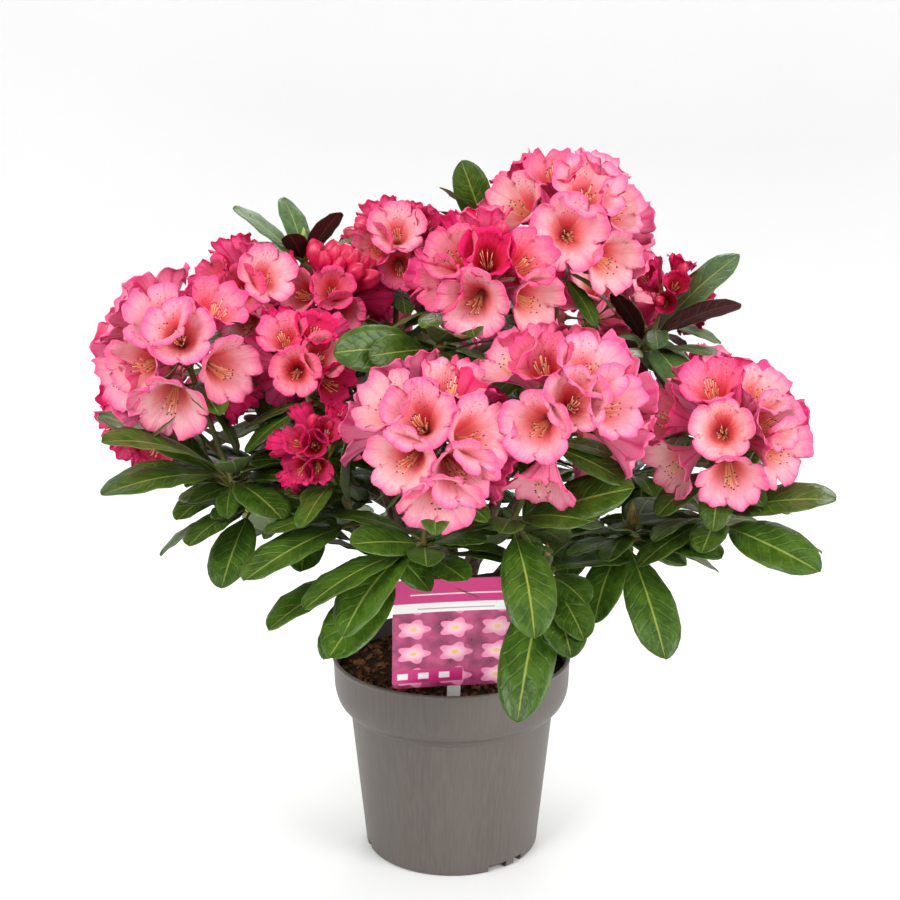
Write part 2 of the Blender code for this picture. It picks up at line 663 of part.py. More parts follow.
def grow_masses(room):
    """Every leaf and bloom of every mass: first those that are seen, then those that fill."""
    dice = random.Random(SEED)
    grown = {name: dict(leaves=[], blooms=[]) for name in MASSES}

    def each_shoot():
        for name, mass in MASSES.items():
            for part, growth in enumerate(mass["shoots"]):
                yield name, part, growth

    for name, part, growth in each_shoot():
        for bearing, rise, length, *tilt in growth["leaves"]:
            leaf = set_leaf(room, name, part, growth, (bearing, rise, length / 1000, sum(tilt)), dice)
            if leaf:
                grown[name]["leaves"].append(leaf)
    for name, part, growth in each_shoot():
        for wanted in growth["blooms"]:
            bloom = set_bloom(room, name, part, growth, wanted)
            if bloom:
                grown[name]["blooms"].append(bloom)
    for name, part, growth in each_shoot():
        if growth["truss"]:
            for facing in truss_directions(growth):
                wanted = (math.degrees(math.atan2(facing.x, -facing.y)), math.degrees(math.asin(facing.z)))
                bloom = set_bloom(room, name, part, growth, wanted)
                if bloom:
                    grown[name]["blooms"].append(bloom)
    for name, part, growth in each_shoot():
        for bearing in whorl_bearings(growth["leaves"], growth["more"], dice):
            rise = growth["rise"] + dice.uniform(-14, 14)
            length = growth["length"] * dice.uniform(0.85, 1.1)
            leaf = set_leaf(room, name, part, growth, (bearing, rise, length, 0), dice)
            if leaf:
                grown[name]["leaves"].append(leaf)
    return grown


def make_masses(room):
    green = material("leaf", LEAF_COLOUR, 0.45)
    pink = material("blossom", BLOOM_COLOUR, 0.55)
    stalk = material("twig", BARK_COLOUR, 0.8)
    for name, mass in MASSES.items():
        for twig in plan_twigs(mass):
            room.add(twig, name, 0, "wood")
    grown = grow_masses(room)
    for name, mass in MASSES.items():
        twigs = plan_twigs(mass)
        leaves = [leaf_form(*leaf) for leaf in grown[name]["leaves"]]
        blooms = [bloom_form(*bloom) for bloom in grown[name]["blooms"]]
        thing = solid(name, twigs[0], stalk)
        forms = twigs[1:] + blooms + leaves
        finishes = [stalk] * (len(twigs) - 1) + [pink] * len(blooms) + [green] * len(leaves)
        combine(thing, "UNION", forms, finishes)


def main():
    room = Room()
    pot = make_pot()
    soil = make_soil()
    for thing in (pot, soil):
        form = ([vert.co for vert in thing.data.vertices], [tuple(face.vertices) for face in thing.data.polygons])
        room.add(form, thing.name, 0, "pot")
    solid("label_stick", stick_form(), material("label stick", STICK_COLOUR, 0.4))
    solid("label_card", card_form(), material("label card", CARD_COLOUR, 0.3))
    room.add(stick_form(CLEAR), "label_stick", 0, "label")
    room.add(card_form(), "label_card", 0, "label")
    routes = plan_boughs()
    make_wood(room, routes)
    make_masses(room)


main()
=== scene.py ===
"""A rhododendron in flower in its nursery pot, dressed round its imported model."""
import json
import math
import random

import bmesh
import bpy
from mathutils import Matrix, Vector, noise
from mathutils.bvhtree import BVHTree

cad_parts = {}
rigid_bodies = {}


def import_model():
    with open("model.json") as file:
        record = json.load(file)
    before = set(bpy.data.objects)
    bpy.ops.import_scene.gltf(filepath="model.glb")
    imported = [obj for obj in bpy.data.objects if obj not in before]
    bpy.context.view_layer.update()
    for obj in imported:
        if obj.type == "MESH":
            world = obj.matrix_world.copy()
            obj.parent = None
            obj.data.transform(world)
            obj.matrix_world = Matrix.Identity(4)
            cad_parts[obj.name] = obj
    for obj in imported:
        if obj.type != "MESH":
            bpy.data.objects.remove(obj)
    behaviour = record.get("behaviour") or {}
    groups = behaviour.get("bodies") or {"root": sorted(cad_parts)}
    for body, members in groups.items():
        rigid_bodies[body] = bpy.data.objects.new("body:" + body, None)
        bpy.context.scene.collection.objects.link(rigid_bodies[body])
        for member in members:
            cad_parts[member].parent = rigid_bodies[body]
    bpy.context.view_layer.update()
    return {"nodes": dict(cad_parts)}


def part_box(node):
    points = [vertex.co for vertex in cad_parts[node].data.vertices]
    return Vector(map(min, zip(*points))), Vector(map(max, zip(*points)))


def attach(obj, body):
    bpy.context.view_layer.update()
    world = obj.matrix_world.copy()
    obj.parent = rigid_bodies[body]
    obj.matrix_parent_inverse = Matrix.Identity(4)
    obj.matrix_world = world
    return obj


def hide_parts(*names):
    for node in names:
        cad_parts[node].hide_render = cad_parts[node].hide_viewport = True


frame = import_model()

# The studio. A pale round floor turns up into a low wall all the way round, under large soft lamps.
# The camera stands in front of the pot at crown height and looks slightly down on it.
CAMERA_PLACE = (-0.0016, -1.4, 0.727)
CAMERA_DIP = 0.2334
CAMERA_LENS = 61.38
FLOOR_RADIUS = 3.2
FLOOR_BEND = 1.3
FLOOR_WALL = 1.4
BEND_STEPS = 12
SKY_STRENGTH = 0.80


class Value:
    """A number in a material. Arithmetic on it adds the Math nodes."""

    def __init__(self, paint, socket):
        self.paint, self.socket = paint, socket

    def maths(self, operation, *others):
        inputs = dict(enumerate((self, *others)))
        return self.paint.node("ShaderNodeMath", {"operation": operation}, inputs)

    def __add__(self, other):
        return self.maths("ADD", other)

    def __sub__(self, other):
        return self.maths("SUBTRACT", other)

    def __rsub__(self, other):
        return self.paint.node("ShaderNodeMath", {"operation": "SUBTRACT"}, {0: other, 1: self})

    def __mul__(self, other):
        return self.maths("MULTIPLY", other)

    def __abs__(self):
        return self.maths("ABSOLUTE")

    __radd__ = __add__
    __rmul__ = __mul__

    def most(self, other):
        return self.maths("MAXIMUM", other)

    def step_from(self, low, high):
        """0 where the value is at low, 1 where it is at high, eased between them."""
        settings = {"interpolation_type": "SMOOTHSTEP"}
        inputs = {"Value": self, "From Min": low, "From Max": high, "To Min": 0.0, "To Max": 1.0}
        return self.paint.node("ShaderNodeMapRange", settings, inputs)


class Paint:
    """One material and its nodes."""

    def __init__(self, name, roughness=0.5, **uniform):
        self.material = bpy.data.materials.new(name)
        self.material.use_nodes = True
        self.nodes = self.material.node_tree.nodes
        self.links = self.material.node_tree.links
        self.shader = self.nodes["Principled BSDF"]
        self.shader.inputs["Roughness"].default_value = roughness
        for label, value in uniform.items():
            self.shader.inputs[label.replace("_", " ")].default_value = value

    def give(self, socket, value):
        if isinstance(value, Value):
            self.links.new(value.socket, socket)
        elif isinstance(value, (tuple, list)) and len(value) == 3 and socket.type == "RGBA":
            socket.default_value = (*value, 1.0)
        else:
            socket.default_value = value

    def node(self, kind, settings=None, inputs=None, output=0):
        made = self.nodes.new(kind)
        for label, value in (settings or {}).items():
            setattr(made, label, value)
        for label, value in (inputs or {}).items():
            self.give(made.inputs[label], value)
        return Value(self, made.outputs[output])

    def mix(self, amount, first, second):
        inputs = {0: amount, 6: first, 7: second}
        return self.node("ShaderNodeMix", {"data_type": "RGBA"}, inputs, 2)

    def place(self, stretch=(1, 1, 1)):
        here = self.node("ShaderNodeTexCoord", None, None, "Object")
        return self.node("ShaderNodeMapping", None, {"Vector": here, "Scale": stretch})

    def vector(self, x, y, z=0.0):
        return self.node("ShaderNodeCombineXYZ", None, {"X": x, "Y": y, "Z": z})

    def mark(self, name):
        """The three numbers that a piece carries under this name at every point."""
        found = self.node("ShaderNodeAttribute", {"attribute_name": name}, None, "Vector")
        return [self.node("ShaderNodeSeparateXYZ", None, {0: found}, axis) for axis in range(3)]

    def cloud(self, vector, scale, detail=3.0, roughness=0.5):
        inputs = {"Vector": vector, "Scale": scale, "Detail": detail, "Roughness": roughness}
        return self.node("ShaderNodeTexNoise", None, inputs, "Fac")

    def cells(self, vector, scale):
        inputs = {"Vector": vector, "Scale": scale}
        return self.node("ShaderNodeTexVoronoi", None, inputs, "Distance")

    def finish(self, colour, roughness=None, relief=None, depth=None):
        self.give(self.shader.inputs["Base Color"], colour)
        if roughness is not None:
            self.give(self.shader.inputs["Roughness"], roughness)
        if relief is not None:
            bump = self.node("ShaderNodeBump", None, {"Height": relief, "Distance": depth, "Strength": 1.0})
            self.give(self.shader.inputs["Normal"], bump)
        return self.material


def flecked(name, roughness, scale, shares, first, second, depth=None, detail=3):
    """A finish of two colours in soft flecks, which stand up where a depth is given."""
    paint = Paint(name, roughness)
    fleck = paint.cloud(paint.place(), scale, detail)
    colour = paint.mix(fleck.step_from(*shares), first, second)
    return paint.finish(colour, relief=fleck if depth else None, depth=depth)


def mesh_piece(name, verts, faces, finish):
    mesh = bpy.data.meshes.new(name)
    mesh.from_pydata([tuple(vert) for vert in verts], [], faces)
    mesh.materials.append(finish)
    piece = bpy.data.objects.new(name, mesh)
    bpy.context.scene.collection.objects.link(piece)
    return piece


def around(sides):
    """The cosine and the sine of each step round a circle."""
    turns = [2 * math.pi * side / sides for side in range(sides)]
    return [(math.cos(turn), math.sin(turn)) for turn in turns]


def walls(rings, sides, first=0):
    """The faces between rings of points that follow each other from the point numbered first."""
    faces = []
    for ring in range(rings - 1):
        start = first + ring * sides
        for side in range(sides):
            a, b = start + side, start + (side + 1) % sides
            faces.append((a, b, b + sides, a + sides))
    return faces


def capped(rings, sides):
    """The faces of a closed form of rings, with a flat end at each."""
    last = (rings - 1) * sides
    return walls(rings, sides) + [tuple(reversed(range(sides))), tuple(range(last, last + sides))]


def turned(profile, sides):
    """Points of radius and height turned round Z. Points on the axis are poles."""
    verts, faces, rings = [], [], []
    for radius, height in profile:
        if radius == 0:
            rings.append([len(verts)] * sides)
            verts.append((0, 0, height))
            continue
        rings.append(list(range(len(verts), len(verts) + sides)))
        verts += [(radius * x, radius * y, height) for x, y in around(sides)]
    for lower, upper in zip(rings, rings[1:]):
        for side in range(sides):
            after = (side + 1) % sides
            faces.append(tuple(dict.fromkeys((lower[side], lower[after], upper[after], upper[side]))))
    return verts, faces


def quarter_bend(radius, height, wide, high):
    """A bend that leaves level and ends upright, without its first point."""
    turns = [math.pi / 2 * step / BEND_STEPS for step in range(1, BEND_STEPS + 1)]
    return [(radius + wide * math.sin(turn), height + high * (1 - math.cos(turn))) for turn in turns]


def lamp(name, place, aim, size, watts):
    data = bpy.data.lights.new(name, "AREA")
    data.shape, data.size, data.energy = "DISK", size, watts
    thing = bpy.data.objects.new(name, data)
    thing.location = place
    thing.rotation_euler = (Vector(aim) - Vector(place)).to_track_quat("-Z", "Y").to_euler()
    bpy.context.scene.collection.objects.link(thing)


floor_paint = Paint("studio floor", 0.6)
floor_tone = floor_paint.cloud(floor_paint.place(), 0.7)
floor_colour = floor_paint.mix(floor_tone, (0.86, 0.86, 0.86), (0.90, 0.90, 0.90))
floor_profile = [(0, 0), (FLOOR_RADIUS, 0), *quarter_bend(FLOOR_RADIUS, 0, FLOOR_BEND, FLOOR_BEND),
                 (FLOOR_RADIUS + FLOOR_BEND, FLOOR_BEND + FLOOR_WALL)]
floor = mesh_piece("floor", *turned(floor_profile, 96), floor_paint.finish(floor_colour))
floor.data.flip_normals()
floor.data.shade_smooth()

lamp("lamp_left", (-1.5, -2.0, 2.3), (0, 0, 0.38), 1.4, 52)
lamp("lamp_right", (2.1, -1.6, 1.6), (0, 0, 0.35), 1.6, 50)
lamp("lamp_back", (0.4, 2.2, 2.6), (0, 0, 0.45), 1.5, 44)

sky = bpy.data.worlds.new("studio")
sky.use_nodes = True
sky.node_tree.nodes["Background"].inputs["Color"].default_value = (1, 1, 1, 1)
sky.node_tree.nodes["Background"].inputs["Strength"].default_value = SKY_STRENGTH
scene = bpy.context.scene
scene.world = sky
scene.view_settings.view_transform = "Standard"
camera_data = bpy.data.cameras.new("camera")
camera_data.lens, camera_data.sensor_width = CAMERA_LENS, 36
camera = bpy.data.objects.new("camera", camera_data)
camera.location = CAMERA_PLACE
camera.rotation_euler = (math.pi / 2 - CAMERA_DIP, 0, 0)
scene.collection.objects.link(camera)
scene.camera = camera

# The pot is a blow-moulded nursery pot of thin taupe plastic: a tapered body, a seam, and a wider band
# with a rolled rim. Pairs of notches are cut in its foot ring so that it drains on a flat floor.
POT_SEAM_HEIGHT = 0.139
POT_SEAM_RADIUS = 0.0992
POT_FOOT_RADIUS = 0.0843
POT_WALL = 0.0020
POT_FLOOR = 0.0028
POT_SIDES = 160
BAND_BULGE = 0.0142
BAND_RISE = 0.028
NOTCHES = ((31.3, 0.0205), (48.5, 0.0110))
NOTCH_GROUPS = 3
NOTCH_HEIGHT = 0.0070
NOTCH_DEPTH = 0.0125
POT_RIM_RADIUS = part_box("pot")[1].x
POT_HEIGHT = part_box("pot")[1].z
FOOT_ROUND = 0.0035
RIM_ROUND = 0.0017


def heading(bearing, rise):
    """The way a bearing from the front and a rise above level point, in degrees."""
    turn, lift = math.radians(bearing), math.radians(rise)
    return Vector((math.sin(turn) * math.cos(lift), -math.cos(turn) * math.cos(lift), math.sin(lift)))


def arc(centre, radius, first, last, steps):
    points = []
    for step in range(steps + 1):
        turn = math.radians(first + (last - first) * step / steps)
        points.append((centre[0] + radius * math.cos(turn), centre[1] + radius * math.sin(turn)))
    return points


def pot_outside():
    """The outside of the pot from under its foot to the top of its rim."""
    foot, seam, height = POT_FOOT_RADIUS, POT_SEAM_RADIUS, POT_SEAM_HEIGHT
    spread, body = seam - 0.0012 - foot, height - 0.0055
    points = [(foot - 0.0060, 0.0), (foot - FOOT_ROUND, 0.0)]
    points += arc((foot - FOOT_ROUND, FOOT_ROUND), FOOT_ROUND, -70, -4, 5)
    points += [(foot + spread * up, 0.004 + body * up) for up in (0.02, 0.3, 0.6, 0.9, 0.985)]
    points += [(seam - 0.0014, height - 0.0008), (seam - 0.0002, height - 0.0002)]
    points += [(seam + 0.0003, height + 0.0008), *quarter_bend(seam, height + 0.004, BAND_BULGE, BAND_RISE)]
    points += [(POT_RIM_RADIUS - 0.0010, POT_HEIGHT - 0.0052), (POT_RIM_RADIUS - 0.0009, POT_HEIGHT - 0.0036)]
    return points + arc((POT_RIM_RADIUS - RIM_ROUND, POT_HEIGHT - RIM_ROUND), RIM_ROUND, -40, 90, 7)


def pot_inside():
    """The inside of the pot from its rim down, which follows the outside a wall's thickness away."""
    points = arc((POT_RIM_RADIUS - 0.0024, POT_HEIGHT - 0.0012), 0.0012, 90, 180, 3)
    points += [(radius - POT_WALL, height) for radius, height in pot_outside()[7:-10][::-1]]
    return points + [(POT_FOOT_RADIUS - POT_WALL - 0.004, POT_FLOOR), (0, POT_FLOOR)]


def notch_cutter(bearing, width):
    out = heading(bearing, 0)
    across = Vector((-out.y, out.x, 0))
    middle = out * (POT_FOOT_RADIUS + 0.003 - NOTCH_DEPTH / 2) + Vector((0, 0, NOTCH_HEIGHT / 2 - 0.0015))
    size = (width, NOTCH_DEPTH, NOTCH_HEIGHT + 0.003)
    turn = Matrix((across, out, (0, 0, 1))).transposed()
    cube = bmesh.new()
    bmesh.ops.create_cube(cube, size=1.0)
    cube.transform(Matrix.Translation(middle) @ turn.to_4x4() @ Matrix.Diagonal((*size, 1)))
    bmesh.ops.recalc_face_normals(cube, faces=cube.faces)
    mesh = bpy.data.meshes.new("notch")
    cube.to_mesh(mesh)
    cube.free()
    return bpy.data.objects.new("notch", mesh)


def read_out(piece):
    """A plain mesh piece in place of this one, with its modifiers worked in."""
    name = piece.name
    graph = bpy.context.evaluated_depsgraph_get()
    mesh = bpy.data.meshes.new_from_object(piece.evaluated_get(graph))
    bpy.data.objects.remove(piece)
    made = bpy.data.objects.new(name, mesh)
    scene.collection.objects.link(made)
    return made


def clear(home):
    """Removes a collection of helpers once they have been used."""
    for helper in list(home.objects):
        bpy.data.objects.remove(helper)
    bpy.data.collections.remove(home)


def shade_round(piece):
    """Smooth shading that keeps the real edges sharp."""
    piece.data.shade_smooth()
    piece.data.set_sharp_from_angle(angle=math.radians(35))


def set_on(piece, slot, *replaced):
    """The finishing of every piece: it rides on the one body, and the model's parts that it replaces are
    hidden. Its slot is not used.
    """
    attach(piece, "root")
    if replaced:
        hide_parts(*replaced)


pot_paint = Paint("nursery pot plastic", 0.42, Specular_IOR_Level=0.42)
streaks = pot_paint.cloud(pot_paint.place((1, 1, 0.035)), 420, 2)
broad = pot_paint.cloud(pot_paint.place((1, 1, 0.12)), 22, 3)
grain = pot_paint.cloud(pot_paint.place(), 1400, 2)
scuffs = pot_paint.cloud(pot_paint.place((1, 1, 0.3)), 90, 5, 0.7).step_from(0.60, 0.78)
pot_colour = pot_paint.mix(streaks.step_from(0.3, 0.7), (0.090, 0.0755, 0.0680), (0.107, 0.091, 0.0815))
pot_colour = pot_paint.mix(broad.step_from(0.35, 0.75) * 0.45, pot_colour, (0.124, 0.105, 0.092))
pot_colour = pot_paint.mix(scuffs * 0.10, pot_colour, (0.24, 0.22, 0.20))
pot_shine = 0.36 + streaks * 0.14 + scuffs * 0.1
pot_plastic = pot_paint.finish(pot_colour, pot_shine, streaks * 0.4 + grain * 0.5, 0.00016)

pot_under = [(0, 0.0009), (0.062, 0.0009), (0.0655, 0.0)]
pot_form = turned(pot_under + pot_outside() + pot_inside(), POT_SIDES)
pot_shell = mesh_piece("nursery_pot", *pot_form, pot_plastic)
cutters = bpy.data.collections.new("notches")
scene.collection.children.link(cutters)
for group in range(NOTCH_GROUPS):
    for first, width in NOTCHES:
        cutters.objects.link(notch_cutter(first + 360 / NOTCH_GROUPS * group, width))
cut = pot_shell.modifiers.new("notches", "BOOLEAN")
cut.operation, cut.operand_type, cut.collection = "DIFFERENCE", "COLLECTION", cutters
pot_shell = read_out(pot_shell)
clear(cutters)
shade_round(pot_shell)
set_on(pot_shell, "pot_plastic", "pot")

# The potting soil fills the pot to a finger's breadth under the rim. It is dark peat, strewn with
# loose chips of bark that lie as they fell.
SOIL_EDGE_HEIGHT = 0.1765
SOIL_MIDDLE_HEIGHT = 0.1800
SOIL_RADIUS = 0.1103
SOIL_SIDES = 120
SOIL_RINGS = 40
SOIL_UNDERSIDE = (0.090, 0.120)
CRUMB_HEIGHT = 0.0016
CRUMB_FINENESS = 190
CHIP_LENGTH = 0.0100
CHIPS_PER_M2 = 15000.0
CHIP_SEED = 4
CHIP_KINDS = 4
CHIP_SIDES = 6
CHIP_BED = 0.955


class Tree:
    """A tree of Geometry Nodes with named inputs, which ends in real meshes with their material."""

    def __init__(self, name, **inputs):
        self.tree = bpy.data.node_groups.new(name, "GeometryNodeTree")
        self.names = {}
        for label, kind in {"Geometry": "Geometry", **inputs, "Finish": "Material"}.items():
            made = self.tree.interface.new_socket(label, in_out="INPUT", socket_type="NodeSocket" + kind)
            self.names[label] = made.identifier
        self.tree.interface.new_socket("Geometry", in_out="OUTPUT", socket_type="NodeSocketGeometry")
        self.given = self.tree.nodes.new("NodeGroupInput").outputs

    def node(self, kind, settings=None, inputs=None, output=0):
        made = self.tree.nodes.new(kind)
        for label, value in (settings or {}).items():
            setattr(made, label, value)
        for label, value in (inputs or {}).items():
            if isinstance(value, bpy.types.NodeSocket):
                self.tree.links.new(value, made.inputs[label])
            else:
                made.inputs[label].default_value = value
        return made.outputs[output]

    def maths(self, operation, *values):
        return self.node("ShaderNodeMath", {"operation": operation}, dict(enumerate(values)))

    def named(self, name, kind="FLOAT"):
        return self.node("GeometryNodeInputNamedAttribute", {"data_type": kind}, {"Name": name})

    def keep(self, geometry, name, value, kind="FLOAT"):
        settings = {"data_type": kind, "domain": "POINT"}
        inputs = {"Geometry": geometry, "Name": name, "Value": value}
        return self.node("GeometryNodeStoreNamedAttribute", settings, inputs)

    def close(self, geometry):
        real = self.node("GeometryNodeRealizeInstances", None, {0: geometry})
        inputs = {"Geometry": real, "Material": self.given["Finish"]}
        coated = self.node("GeometryNodeSetMaterial", None, inputs)
        self.tree.links.new(coated, self.tree.nodes.new("NodeGroupOutput").inputs[0])

    def run(self, source, **values):
        modifier = source.modifiers.new(self.tree.name, "NODES")
        modifier.node_group = self.tree
        for label, value in values.items():
            modifier[self.names[label]] = value
        return read_out(source)


def soil_height(radius):
    share = min(1.0, radius / SOIL_RADIUS)
    return SOIL_MIDDLE_HEIGHT + (SOIL_EDGE_HEIGHT - SOIL_MIDDLE_HEIGHT) * share ** 2


def make_ground():
    radii = [SOIL_RADIUS * ring / SOIL_RINGS for ring in range(SOIL_RINGS, -1, -1)]
    top = [(radius, soil_height(radius)) for radius in radii]
    verts, faces = turned([(0, SOIL_UNDERSIDE[1]), SOIL_UNDERSIDE] + top, SOIL_SIDES)
    raised = []
    for x, y, z in verts:
        if z > SOIL_UNDERSIDE[1] and math.hypot(x, y) < SOIL_RADIUS - 0.001:
            z += CRUMB_HEIGHT * (noise.fractal(Vector((x, y, 0)) * CRUMB_FINENESS, 0.8, 2.0, 4) - 0.2)
        raised.append((x, y, z))
    return mesh_piece("soil_ground", raised, faces, peat)


def chip_form(dice):
    """A split flake of bark about one unit long."""
    thick = dice.uniform(0.12, 0.28)
    ring = []
    for side in range(CHIP_SIDES):
        turn = 2 * math.pi * (side + dice.uniform(-0.3, 0.3)) / CHIP_SIDES
        far = dice.uniform(0.35, 0.55)
        ring.append((far * math.cos(turn), far * math.sin(turn) * 0.55))
    verts = [(x, y, thick * dice.uniform(0.6, 1.0)) for x, y in ring]
    verts += [(x * 0.8, y * 0.8, -thick * 0.4) for x, y in ring]
    faces = [tuple(range(CHIP_SIDES)), tuple(reversed(range(CHIP_SIDES, 2 * CHIP_SIDES)))]
    for side in range(CHIP_SIDES):
        after = (side + 1) % CHIP_SIDES
        faces.append((side, side + CHIP_SIDES, after + CHIP_SIDES, after))
    return verts, faces


def strew_tree():
    """Strews chips of a collection over a surface, each turned and sized at random."""
    tree = Tree("strew", Chips="Collection", Density="Float", Length="Float", Seed="Int")
    given = tree.given

    def chance(kind, inputs, output):
        inputs["Seed"] = given["Seed"]
        return tree.node("FunctionNodeRandomValue", {"data_type": kind}, inputs, output)

    bed = {"Mesh": given["Geometry"], "Density": given["Density"], "Seed": given["Seed"]}
    spots = tree.node("GeometryNodeDistributePointsOnFaces", None, bed, "Points")
    turn = chance("FLOAT_VECTOR", {0: (-0.6, -0.6, 0.0), 1: (0.6, 0.6, 6.28)}, 0)
    swell = chance("FLOAT", {2: 0.45, 3: 1.25}, 1)
    pick = chance("INT", {4: 0, 5: CHIP_KINDS - 1}, 2)
    kinds = tree.node("GeometryNodeCollectionInfo", None,
                      {0: given["Chips"], "Separate Children": True, "Reset Children": True})
    tree.close(tree.node("GeometryNodeInstanceOnPoints", None,
                         {"Points": spots, "Instance": kinds, "Pick Instance": True, "Instance Index": pick,
                          "Rotation": tree.node("FunctionNodeEulerToRotation", None, {0: turn}),
                          "Scale": tree.maths("MULTIPLY", swell, given["Length"])}))
    return tree


def make_chips():
    dice = random.Random(CHIP_SEED)
    patterns = bpy.data.collections.new("chips")
    for number in range(CHIP_KINDS):
        chip = mesh_piece(f"chip_{number}", *chip_form(dice), chip_wood)
        scene.collection.objects.unlink(chip)
        patterns.objects.link(chip)
    rings = []
    for ring in range(8, -1, -1):
        radius = SOIL_RADIUS * ring / 8
        rings.append((radius * CHIP_BED, soil_height(radius) + 0.0008))
    bed = mesh_piece("bark_chips", *turned(rings, 48), chip_wood)
    strewn = strew_tree().run(bed, Chips=patterns, Density=CHIPS_PER_M2, Length=CHIP_LENGTH, Seed=CHIP_SEED,
                              Finish=chip_wood)
    clear(patterns)
    return strewn


soil_paint = Paint("peat", 0.95, Specular_IOR_Level=0.2)
crumbs = soil_paint.cloud(soil_paint.place(), 420, 5, 0.65)
clods = soil_paint.cells(soil_paint.place(), 230)
soil_colour = soil_paint.mix(crumbs.step_from(0.35, 0.72), (0.018, 0.009, 0.005), (0.085, 0.040, 0.019))
peat = soil_paint.finish(soil_colour, 0.9, crumbs + clods * 0.6, 0.0016)
chip_paint = Paint("bark chip", 0.9, Specular_IOR_Level=0.25)
fibre = chip_paint.cloud(chip_paint.place((1, 1, 2)), 300, 4, 0.6)
lump = chip_paint.cloud(chip_paint.place(), 60, 2)
chip_colour = chip_paint.mix(lump.step_from(0.36, 0.64), (0.050, 0.020, 0.009), (0.190, 0.078, 0.030))
chip_colour = chip_paint.mix(fibre.step_from(0.45, 0.7) * 0.5, chip_colour, (0.30, 0.155, 0.075))
chip_wood = chip_paint.finish(chip_colour, 0.88, fibre, 0.0006)
ground = make_ground()
ground.data.shade_smooth()
set_on(ground, "soil", "soil")
chips = make_chips()
set_on(chips, "soil")

# The plant label is a printed plastic card clipped to a flat white stick that is pushed into the soil.
# Its print is plain: a magenta head band, a panel of simple rosettes and a strip with blank tabs.
LABEL_FOOT = Vector((0.0015, -0.0855, 0.1780))
LABEL_LEAN = 9.0
LABEL_TURN = 8.0
STICK_WIDTH = 0.012
STICK_THICKNESS = 0.0018
STICK_BURIED = 0.050
STICK_ABOVE = 0.085
CARD_WIDTH = 0.114
CARD_HEIGHT = 0.109
CARD_THICKNESS = 0.0009
CARD_CORNER = 0.006
CARD_FOOT = 0.0180
CARD_BOW = 0.0016
CARD_STRIPS = 24
MAGENTA = (0.60, 0.020, 0.185)
SOFT_WHITE = (0.86, 0.84, 0.83)


def label_place(x, y, z):
    """From the label's own frame, foot at the origin, to its place in the pot."""
    turn, lean = math.radians(LABEL_TURN), math.radians(LABEL_LEAN)
    back = y * math.cos(lean) - z * math.sin(lean)
    up = y * math.sin(lean) + z * math.cos(lean)
    return LABEL_FOOT + Vector((x * math.cos(turn) - back * math.sin(turn),
                                x * math.sin(turn) + back * math.cos(turn), up))


def rounded_plate(width, low, high, corner, steps):
    """The outline of an upright plate with round corners."""
    outline = []
    middle, half = (low + high) / 2, (high - low) / 2
    for quarter, (right, up) in enumerate(((1, 1), (-1, 1), (-1, -1), (1, -1))):
        centre = (right * (width / 2 - corner), middle + up * (half - corner))
        outline += arc(centre, corner, 90 * quarter, 90 * quarter + 90, steps)
    return outline


def make_stick():
    outline = rounded_plate(STICK_WIDTH, -STICK_BURIED, STICK_ABOVE, STICK_WIDTH / 2 - 0.0002, 7)
    half = STICK_THICKNESS / 2
    verts = [label_place(x, y, z) for y in (half, -half) for x, z in outline]
    return mesh_piece("label_stake", verts, capped(2, len(outline)), white_plastic)


def sheet_faces(rows, columns):
    """The faces of a thin closed sheet of two grids, the second of them below the first."""
    count, faces = rows * columns, []
    for row in range(rows - 1):
        for column in range(columns - 1):
            a = row * columns + column
            faces.append((a, a + 1, a + columns + 1, a + columns))
            faces.append(tuple(index + count for index in (a, a + columns, a + columns + 1, a + 1)))
        a, b = row * columns, row * columns + columns - 1
        faces.append((a, a + columns, a + columns + count, a + count))
        faces.append((b + columns, b, b + count, b + columns + count))
    for column in range(columns - 1):
        far = (rows - 1) * columns + column
        faces.append((column, column + count, column + 1 + count, column + 1))
        faces.append((far + 1, far + 1 + count, far + count, far))
    return faces


def make_card():
    """The card in upright strips, a little bowed, with its print mapped on the front and the back."""
    bottom, forward = CARD_FOOT, STICK_THICKNESS / 2 + 0.0003
    columns = []
    for strip in range(CARD_STRIPS + 1):
        x = CARD_WIDTH * (0.5 - 0.5 * math.cos(math.pi * strip / CARD_STRIPS)) - CARD_WIDTH / 2
        inset = max(0.0, abs(x) - CARD_WIDTH / 2 + CARD_CORNER)
        cut = CARD_CORNER - math.sqrt(max(0.0, CARD_CORNER ** 2 - inset ** 2))
        bow = CARD_BOW * (x / CARD_WIDTH * 2) ** 2
        columns.append((x, bottom + cut, bottom + CARD_HEIGHT - cut, -forward - bow))
    verts, spots = [], []
    for layer, side in ((0.0, 0.5), (-CARD_THICKNESS, 0)):
        for x, low, high, y in columns:
            for z in (low, high):
                verts.append(label_place(x, y + layer, z))
                spots.append(((x / CARD_WIDTH + 0.5) / 2 + side, (z - bottom) / CARD_HEIGHT))
    card = mesh_piece("label_board", verts, sheet_faces(CARD_STRIPS + 1, 2), print_finish)
    mapped = card.data.uv_layers.new(name="OFBake")
    for loop in card.data.loops:
        mapped.data[loop.index].uv = spots[loop.vertex_index]
    return card


